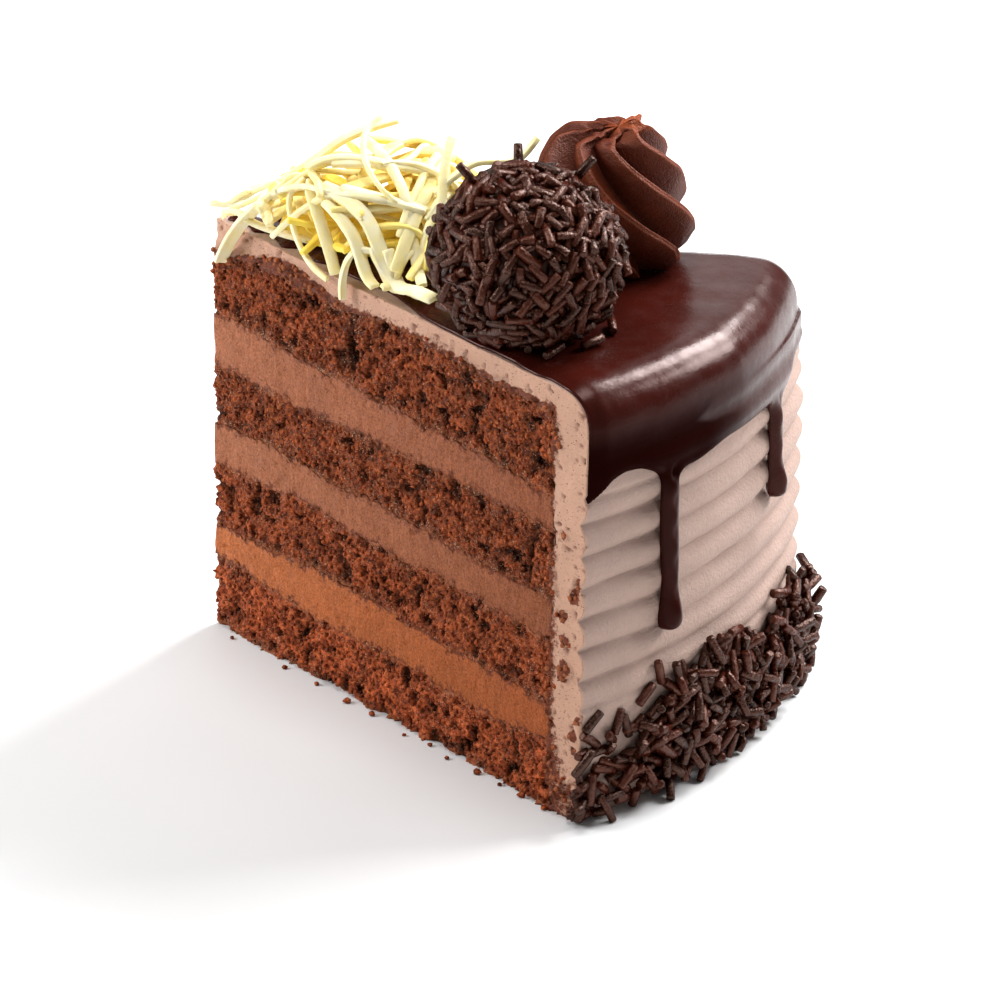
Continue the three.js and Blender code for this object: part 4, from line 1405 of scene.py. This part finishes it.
def foot_crumbs(form):
    """Crumbs that fell from the near cut face."""
    base, faces = opened(form)
    forms = []
    rng = np.random.default_rng(41)
    for number, share in enumerate(np.linspace(0, 1, FOOT_CRUMBS)):
        radius = lerp(7, 95, share**0.7) + rng.uniform(-2, 2)
        out, size = rng.uniform(0.9, 2.2), rng.uniform(0.8, 1.7)
        x = radius * math.cos(HALF_ANGLE) - out * math.sin(HALF_ANGLE)
        y = -radius * math.sin(HALF_ANGLE) - out * math.cos(HALF_ANGLE)
        turn = 1.7 * number
        turned = base * size @ np.array(
            [[math.cos(turn), math.sin(turn), 0], [-math.sin(turn), math.cos(turn), 0], [0, 0, 0.8]]
        )
        forms.append((turned + place_xy(x, y, 0.3 * size), faces))
    return make_mesh("foot crumbs", *joined(forms))


def truffle_strays():
    """Places and directions of the single sprinkles on the truffle and beside it."""
    rng = np.random.default_rng(23)
    middle = np.array([TRUFFLE[key] for key in "xyz"])
    strays = []
    for bearing in np.radians(np.linspace(60, 200, TRUFFLE_STANDING)):
        rise = rng.uniform(0.6, 0.9)
        level = math.sqrt(1 - rise**2)
        way = np.array([level * math.cos(bearing), level * math.sin(bearing), rise])
        at = middle + way * np.array([1, 1, TRUFFLE["squash"]]) * (TRUFFLE["radius"] + 1.4)
        strays.append((at, way + rng.uniform(-0.3, 0.3, 3)))
    for bearing in np.radians(np.linspace(-40, 60, TRUFFLE_FALLEN)):
        out = rng.uniform(12.8, 16)
        turned = rng.uniform(0, math.pi)
        at = (middle[0] + out * math.cos(bearing), middle[1] + out * math.sin(bearing), 82.5)
        strays.append((at, (math.cos(turned), math.sin(turned), 0.1)))
    return strays


def laid_sprinkles(spots, sizes):
    """Single sprinkles at chosen places: (point in the frame, direction)."""
    form = sprinkle_mesh(sizes)
    base, faces = opened(form)
    forms = []
    for point, direction in spots:
        point = place_xy(*point)
        forward = np.asarray(direction, float)
        forward /= np.linalg.norm(forward)
        helper = np.array([0, 0, 1.0]) if abs(forward[2]) < 0.9 else np.array([1.0, 0, 0])
        across = np.cross(helper, forward)
        across /= np.linalg.norm(across)
        basis = np.stack([forward, across, np.cross(forward, across)])
        forms.append((base @ basis + point, faces))
    points, faces = joined(forms)
    bpy.data.meshes.remove(form)
    tone = np.repeat(np.linspace(0, 1, len(spots)), len(base))
    return make_mesh("laid sprinkles", points, faces, {"tone": tone})


def band_carrier(lift, low_share, cover_scale):
    """A sheet at a distance from the coat's foot, tagged with how thickly sprinkles cover it."""
    angle = np.linspace(-1.02, 1.0, 90)[None, :] * HALF_ANGLE
    down = np.linspace(0, 1, 34)[:, None]
    edge = np.interp(np.degrees(angle), *BAND_EDGE) * low_share
    z = 1.2 + edge * (1 - down)
    share = (angle / HALF_ANGLE + 1) / 2
    reach = lift * lerp(0.75, 1.1, share)
    points = place(coat_face(angle, z) + reach, angle + 0 * z, z)
    number = np.arange(points.shape[0] * points.shape[1]).reshape(points.shape[:2])
    quads = np.stack([number[:-1, :-1], number[1:, :-1], number[1:, 1:], number[:-1, 1:]], -1)
    patchy = noise(points, 4, 101) + 0.5 * noise(points, 1.8, 102)
    corner = smooth(-np.degrees(angle), 10.5, 14.5)
    upper = smooth((1 - down) + 0 * angle, 0.25, 0.9)
    ragged = smooth((1 - down) + 0.18 * patchy, 1.0, 0.82)
    cover = ragged * (1 - corner * (0.35 + 0.6 * upper) * smooth(patchy, -0.5, 0.4))
    tags = {"cover": (cover * cover_scale).ravel()}
    mesh = make_mesh("band carrier", points.reshape(-1, 3), [quads.reshape(-1, 4)], tags)
    mesh.calc_loop_triangles()
    return mesh


# ---- what a user would change ---------------------------------------------------------


def length(name, default, description):
    """A length property, given in millimetres."""
    return FloatProperty(
        name=name, description=description, default=default * MM, min=0, unit="LENGTH", precision=4
    )


def shade(name, screen, description):
    """A colour property, given as a screen shows it."""
    return FloatVectorProperty(
        name=name, description=description, default=tint(*screen), subtype="COLOR", min=0, max=1
    )


class CakeSizes(bpy.types.PropertyGroup):
    crumb_depth: length("Crumb depth", 1.0, "How deep the torn sponge's holes are")
    crumb_size: length("Crumb size", 1.1, "Size of the loose crumbs")
    ridge_depth: length("Ridge depth", 1.6, "How deep the comb cut into the coat")
    glaze_thickness: length("Glaze thickness", 1.2, "Glaze on top of the slice")
    sprinkle_length: length("Sprinkle length", 4.7, "Length of one sprinkle")
    sprinkle_thickness: length("Sprinkle thickness", 1.6, "Thickness of one sprinkle")
    shaving_width: length("Shaving width", 2.0, "Width of a usual shaving")
    shaving_thickness: length("Shaving thickness", 0.9, "Thickness of a shaving")
    shaving_count: IntProperty(
        name="Shavings", description="Shavings under the chosen ones", default=100, min=0
    )
    rosette_folds: IntProperty(
        name="Rosette folds", description="Folds that the nozzle makes", default=8, min=4
    )
    rosette_twist: FloatProperty(
        name="Rosette twist",
        description="How far the folds turn from foot to peak",
        default=math.radians(127),
        subtype="ANGLE",
    )


class CakeColours(bpy.types.PropertyGroup):
    sponge_light: shade("Sponge", (166, 80, 43), "Crumb in the light")
    sponge_dark: shade("Dark sponge", (94, 35, 16), "Crumb between")
    # Painted glow of light through fine crumb.
    sponge_painted_glow: shade("Warm sponge", (206, 132, 88), "Fine crumb that the light comes through")
    # Painted shade inside the sponge's holes.
    sponge_hole_shade: shade("Sponge holes", (30, 9, 5), "Inside the holes")
    # Painted highlight: glints on small crumbs, drawn into the colour.
    sponge_painted_glint: shade("Sponge glints", (226, 176, 142), "Small wet crumbs that catch the light")
    sponge_greasy: shade("Greasy sponge", (90, 62, 50), "Where cream was dragged thinly over it")
    sponge_moist: shade("Moist sponge", (62, 26, 15), "Where cream has soaked in")
    # Partly the cream's own colour and partly a painted warm reflection from below.
    filling_low_with_reflection: shade("Lowest filling", (188, 105, 55), "Cream between the first sponges")
    filling_mid: shade("Middle filling", (168, 102, 68), "Cream in the middle")
    filling_top: shade("Top filling", (168, 102, 69), "Cream under the top sponge")
    frosting: shade("Frosting", (176, 149, 137), "The combed coat")
    frosting_cut: shade("Cut frosting", (202, 157, 132), "The coat's cut face")
    glaze: shade("Glaze", (56, 15, 9), "The poured glaze")
    # Painted shade on the glaze over the side.
    glaze_shaded_side: shade("Hanging glaze", (22, 4, 3), "The glaze over the side")
    rosette: shade("Rosette", (97, 43, 27), "Piped cream")
    # Also the painted highlight along the rosette's crests.
    rosette_peak_and_highlight: shade("Rosette peak", (150, 70, 32), "Thin cream at the torn peak")
    truffle: shade("Truffle", (34, 14, 8), "The ball")
    # Painted glow of light through the fudge.
    truffle_painted_glow: shade("Truffle, warm", (112, 58, 24), "The ball where light comes through")
    sprinkle: shade("Sprinkles", (68, 25, 13), "A sprinkle")
    # Partly rubbed dust, partly a painted sheen.
    sprinkle_dust_and_sheen: shade("Dusty sprinkles", (140, 90, 66), "A sprinkle's rubbed edges")
    shaving: shade("Shavings", (255, 247, 214), "White chocolate")
    shaving_shade: shade("Shavings, darker", (255, 240, 176), "White chocolate's other tone")
    # Painted glow and shade inside the heap.
    shaving_deep_glow: shade("Inner shavings", (255, 222, 84), "Shavings inside the heap")
    shaving_browned: shade("Browned ends", (130, 84, 40), "Ends that melted")
    floor: shade("Floor", (230, 230, 230), "What it stands on")


# ---- operators ------------------------------------------------------------------------


class Maker:
    """What the operators share."""

    bl_options = {"REGISTER", "UNDO"}

    @property
    def sizes(self):
        return bpy.context.scene.cake_sizes

    @property
    def look(self):
        return bpy.context.scene.cake_colours

    def execute(self, context):
        self.make()
        return {"FINISHED"}


class MakeSponges(Maker, bpy.types.Operator):
    """Makes the four sponges and the crumbs that stand on their cut faces"""

    bl_idname = "cake.sponges"
    bl_label = "Sponges"

    def make(self):
        # Painted light: each sponge's colours are scaled to the light that fell on that layer, the lowest
        # brightest and warmest as from a reflection below, so the four sponge materials are lit and shaded
        # copies of one.
        shades = (1.95, 1.28, 0.9, 1.02)
        form = crumb_mesh(self.sizes.crumb_size / MM)
        crumbs = []
        for number in range(4):
            points, faces, tags = layer_form(2 * number, 0.26, self.sizes)
            mesh = make_mesh(f"sponge_layer_{number + 1}", points, faces, tags)
            finish = sponge_finish(f"sponge {number + 1}", self.look, shades[number])
            node = f"sponge_{number + 1}"
            piece = show(mesh, finish, "sponge", node)
            crumbs.append(
                scattered(
                    "crumbs", piece.data.copy(), form.copy(),
                    Spacing=1.15 * MM, Lift=0.25 * MM, Tilt=math.pi, Shortest=0.45, Longest=1.25,
                    Unevenness=0.8 * MM, Seed=20 + number, Finish=finish,
                )
            )
        crumbs.append(foot_crumbs(form))
        mesh = merged("sponge_crumbs", crumbs)
        show(mesh, bpy.data.materials["sponge 2"], "sponge")


class MakeFillings(Maker, bpy.types.Operator):
    """Makes the three cream fillings"""

    bl_idname = "cake.fillings"
    bl_label = "Fillings"

    def make(self):
        look = self.look
        mains = (look.filling_low_with_reflection, look.filling_mid, look.filling_top)
        for number, main in enumerate(mains):
            points, faces, tags = layer_form(2 * number + 1, 0.45, self.sizes)
            mesh = make_mesh(f"filling_layer_{number + 1}", points, faces, tags)
            finish = cream_finish(f"filling {number + 1}", main, scaled(look.sponge_light, 0.55))
            show(mesh, finish, "filling", f"filling_{number + 1}")


class MakeFrosting(Maker, bpy.types.Operator):
    """Makes the frosting on the top and on the side"""

    bl_idname = "cake.frosting"
    bl_label = "Frosting"

    def make(self):
        mesh = make_mesh("frosting_coat", *frosting_form(self.sizes))
        show(mesh, frosting_finish(self.look), "frosting", "frosting")
        finish = bpy.data.materials["sponge 2"]
        crumbs = scattered(
            "frosting_crumbs", mesh.copy(), crumb_mesh(self.sizes.crumb_size / MM),
            Spacing=1.2 * MM, Lift=0.4 * MM, Tilt=math.pi, Shortest=0.5, Longest=1.3,
            Unevenness=0.8 * MM, Seed=27, Finish=finish,
        )
        show(crumbs, finish, "sponge")


class MakeGlaze(Maker, bpy.types.Operator):
    """Pours the glaze, with its drips"""

    bl_idname = "cake.glaze"
    bl_label = "Glaze"

    def make(self):
        mesh = make_mesh("poured_glaze", *glaze_form(self.sizes))
        show(mesh, glaze_finish(self.look), "glaze", "glaze")


class MakeTruffle(Maker, bpy.types.Operator):
    """Makes the truffle and the sprinkles stuck on it"""

    bl_idname = "cake.truffle"
    bl_label = "Truffle"

    def make(self):
        ball = self.ball("truffle_ball", 0.0)
        show(ball, truffle_finish(self.look), "truffle", "truffle")
        finish = sprinkle_finish(self.look)
        # Lift, gap between sprinkles, tilt in degrees and lengths of each coat.
        coats = ((0.1, 1.95, 16, 0.5, 1.0), (0.9, 2.5, 34, 0.65, 1.2))
        meshes = [
            scattered(
                "coat", self.ball("coat", lift), sprinkle_mesh(self.sizes),
                Spacing=gap * MM, Lift=0.7 * MM, Tilt=math.radians(tilt), Shortest=shortest,
                Longest=longest, Unevenness=0.4 * MM, Seed=5 + number, Finish=finish,
            )
            for number, (lift, gap, tilt, shortest, longest) in enumerate(coats)
        ]
        meshes.append(laid_sprinkles(truffle_strays(), self.sizes))
        show(merged("truffle_sprinkles", meshes), finish, "truffle")

    def ball(self, name, lift):
        points, faces = truffle_form(lift)
        off = (points - place_xy(*TRUFFLE_BARE)) * np.array([1, 1, 1.4])
        bare = np.linalg.norm(off, axis=1)
        return make_mesh(name, points, faces, {"cover": smooth(bare, 1.5, 3.2)})


class MakeRosette(Maker, bpy.types.Operator):
    """Pipes the rosette"""

    bl_idname = "cake.rosette"
    bl_label = "Rosette"

    def make(self):
        mesh = make_mesh("piped_rosette", *rosette_form(self.sizes))
        show(mesh, rosette_finish(self.look), "rosette", "rosette")


class MakeShavings(Maker, bpy.types.Operator):
    """Heaps up the white chocolate shavings"""

    bl_idname = "cake.shavings"
    bl_label = "Shavings"

    def make(self):
        finish = shaving_finish(self.look)
        points, faces = heap_core_form()
        # The core is drawn wholly in the painted deep yellow.
        core = make_mesh("shavings_core", points, faces, {"deep": np.ones(len(points))})
        show(core, finish, "shavings")
        mesh = make_mesh("white_shavings", *shavings_form(self.sizes))
        show(mesh, finish, "shavings", "shavings_heap")


class MakeSprinkleBand(Maker, bpy.types.Operator):
    """Presses the band of sprinkles onto the foot of the coat"""

    bl_idname = "cake.sprinkle_band"
    bl_label = "Sprinkle band"

    def make(self):
        finish = bpy.data.materials["chocolate sprinkles"]
        sheets = ((0.7, 1.0, 1.0, 2.0), (2.2, 0.93, 0.8, 2.5), (3.6, 0.72, 0.7, 2.9))
        meshes = []
        for number, (lift, low, cover, spacing) in enumerate(sheets):
            meshes.append(
                scattered(
                    "band", band_carrier(lift, low, cover), sprinkle_mesh(self.sizes),
                    Spacing=spacing * MM, Lift=0.8 * MM, Tilt=math.radians(42), Shortest=0.55,
                    Longest=1.3, Unevenness=0.4 * MM, Seed=31 + number, Finish=finish,
                )
            )
        strays = []
        rng = np.random.default_rng(29)
        for number in range(BAND_STRAYS):
            angle, z = math.radians(rng.uniform(-19.3, -10.5)), rng.uniform(13, 26)
            x, y = ((coat_face(angle, z) + 0.4) * f(angle) for f in (math.cos, math.sin))
            lean = math.radians(37 + 71 * number)
            way = (-math.cos(lean) * math.sin(angle), math.cos(lean) * math.cos(angle), math.sin(lean))
            strays.append(((x, y, z), way))
        meshes.append(laid_sprinkles(strays, self.sizes))
        mesh = merged("band_sprinkles", meshes)
        show(mesh, finish, "sprinkles", "sprinkle_band")


class MakeStage(Maker, bpy.types.Operator):
    """Sets up the floor, the lights and the camera"""

    bl_idname = "cake.stage"
    bl_label = "Stage"

    def make(self):
        scene = bpy.context.scene
        mesh = bpy.data.meshes.new("floor")
        wide = 4.0
        corners = [(-wide, -wide, 0), (wide, -wide, 0), (wide, wide, 0), (-wide, wide, 0)]
        mesh.from_pydata(corners, [], [(0, 1, 2, 3)])
        finish = Finish("floor", Roughness=0.7, Specular_IOR_Level=0.2)
        paper = finish.noise(60, 2)
        plain = self.look.floor
        finish.paint(finish.mix(finish.spread(paper, 0.3, 0.7), plain, scaled(plain, 0.98)))
        finish.raise_by((finish.noise(1.5, 2), 0.01))
        mesh.materials.append(finish.material)
        floor = bpy.data.objects.new("floor", mesh)
        scene.collection.objects.link(floor)

        world = bpy.data.worlds.new("studio")
        world.use_nodes = True
        background = world.node_tree.nodes["Background"]
        background.inputs["Color"].default_value = (1.0, 1.0, 1.0, 1.0)
        background.inputs["Strength"].default_value = 0.21
        scene.world = world
        scene.view_settings.view_transform = "Standard"

        for name, place_at, size, power in LIGHTS:
            light = bpy.data.lights.new(name, "AREA")
            light.shape = "RECTANGLE"
            light.size, light.size_y = size
            light.energy = power
            lamp = bpy.data.objects.new(name, light)
            lamp.location = place_at
            aim = Vector((0, 0, 0.05)) - lamp.location
            lamp.rotation_euler = aim.to_track_quat("-Z", "Y").to_euler()
            scene.collection.objects.link(lamp)

        camera = bpy.data.cameras.new("camera")
        camera.lens, camera.sensor_width = 194.4, 36.0
        camera.clip_start, camera.clip_end = 0.05, 20.0
        eye = bpy.data.objects.new("camera", camera)
        eye.location = CAMERA_AT
        eye.rotation_euler = (Vector(CAMERA_AIM) - eye.location).to_track_quat("-Z", "Y").to_euler()
        scene.collection.objects.link(eye)
        scene.camera = eye


CAMERA_AT = (0.4429, -0.7572, 0.4440)
CAMERA_AIM = (0.0033, 0.0019, 0.0375)
# Name, place, width and height, power.
LIGHTS = (
    ("back softbox", (0.15, 0.70, 0.71), (0.32, 0.32), 12.0),
    ("back right softbox", (0.52, 0.68, 0.58), (0.40, 0.28), 9.0),
    ("back card", (-0.54, 0.94, 0.50), (0.7, 0.5), 1.2),
    ("front left softbox", (-0.50, -0.26, 0.34), (0.2, 0.2), 2.7),
    ("overhead softbox", (0.0, -0.05, 1.1), (0.45, 0.45), 6.4),
)


class VIEW3D_PT_cake_slice(bpy.types.Panel):
    """Everything the slice is made of"""

    bl_label = "Cake slice"
    bl_space_type = "VIEW_3D"
    bl_region_type = "UI"
    bl_category = "Cake slice"

    def draw(self, context):
        layout = self.layout
        for maker in MAKERS:
            layout.operator(maker.bl_idname)
        for group in (context.scene.cake_sizes, context.scene.cake_colours):
            box = layout.box()
            for name in group.bl_rna.properties.keys():
                if name not in ("rna_type", "name"):
                    box.prop(group, name)


MAKERS = (
    MakeSponges,
    MakeFillings,
    MakeFrosting,
    MakeGlaze,
    MakeTruffle,
    MakeRosette,
    MakeShavings,
    MakeSprinkleBand,
    MakeStage,
)
CLASSES = (CakeSizes, CakeColours, *MAKERS, VIEW3D_PT_cake_slice)


def register():
    for made in CLASSES:
        bpy.utils.register_class(made)
    bpy.types.Scene.cake_sizes = PointerProperty(type=CakeSizes)
    bpy.types.Scene.cake_colours = PointerProperty(type=CakeColours)


def unregister():
    del bpy.types.Scene.cake_colours
    del bpy.types.Scene.cake_sizes
    for made in reversed(CLASSES):
        bpy.utils.unregister_class(made)


def main():
    """Makes every piece in order."""
    register()
    for maker in MAKERS:
        group, name = maker.bl_idname.split(".")
        getattr(getattr(bpy.ops, group), name)()
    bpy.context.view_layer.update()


if __name__ == "__main__":
    main()
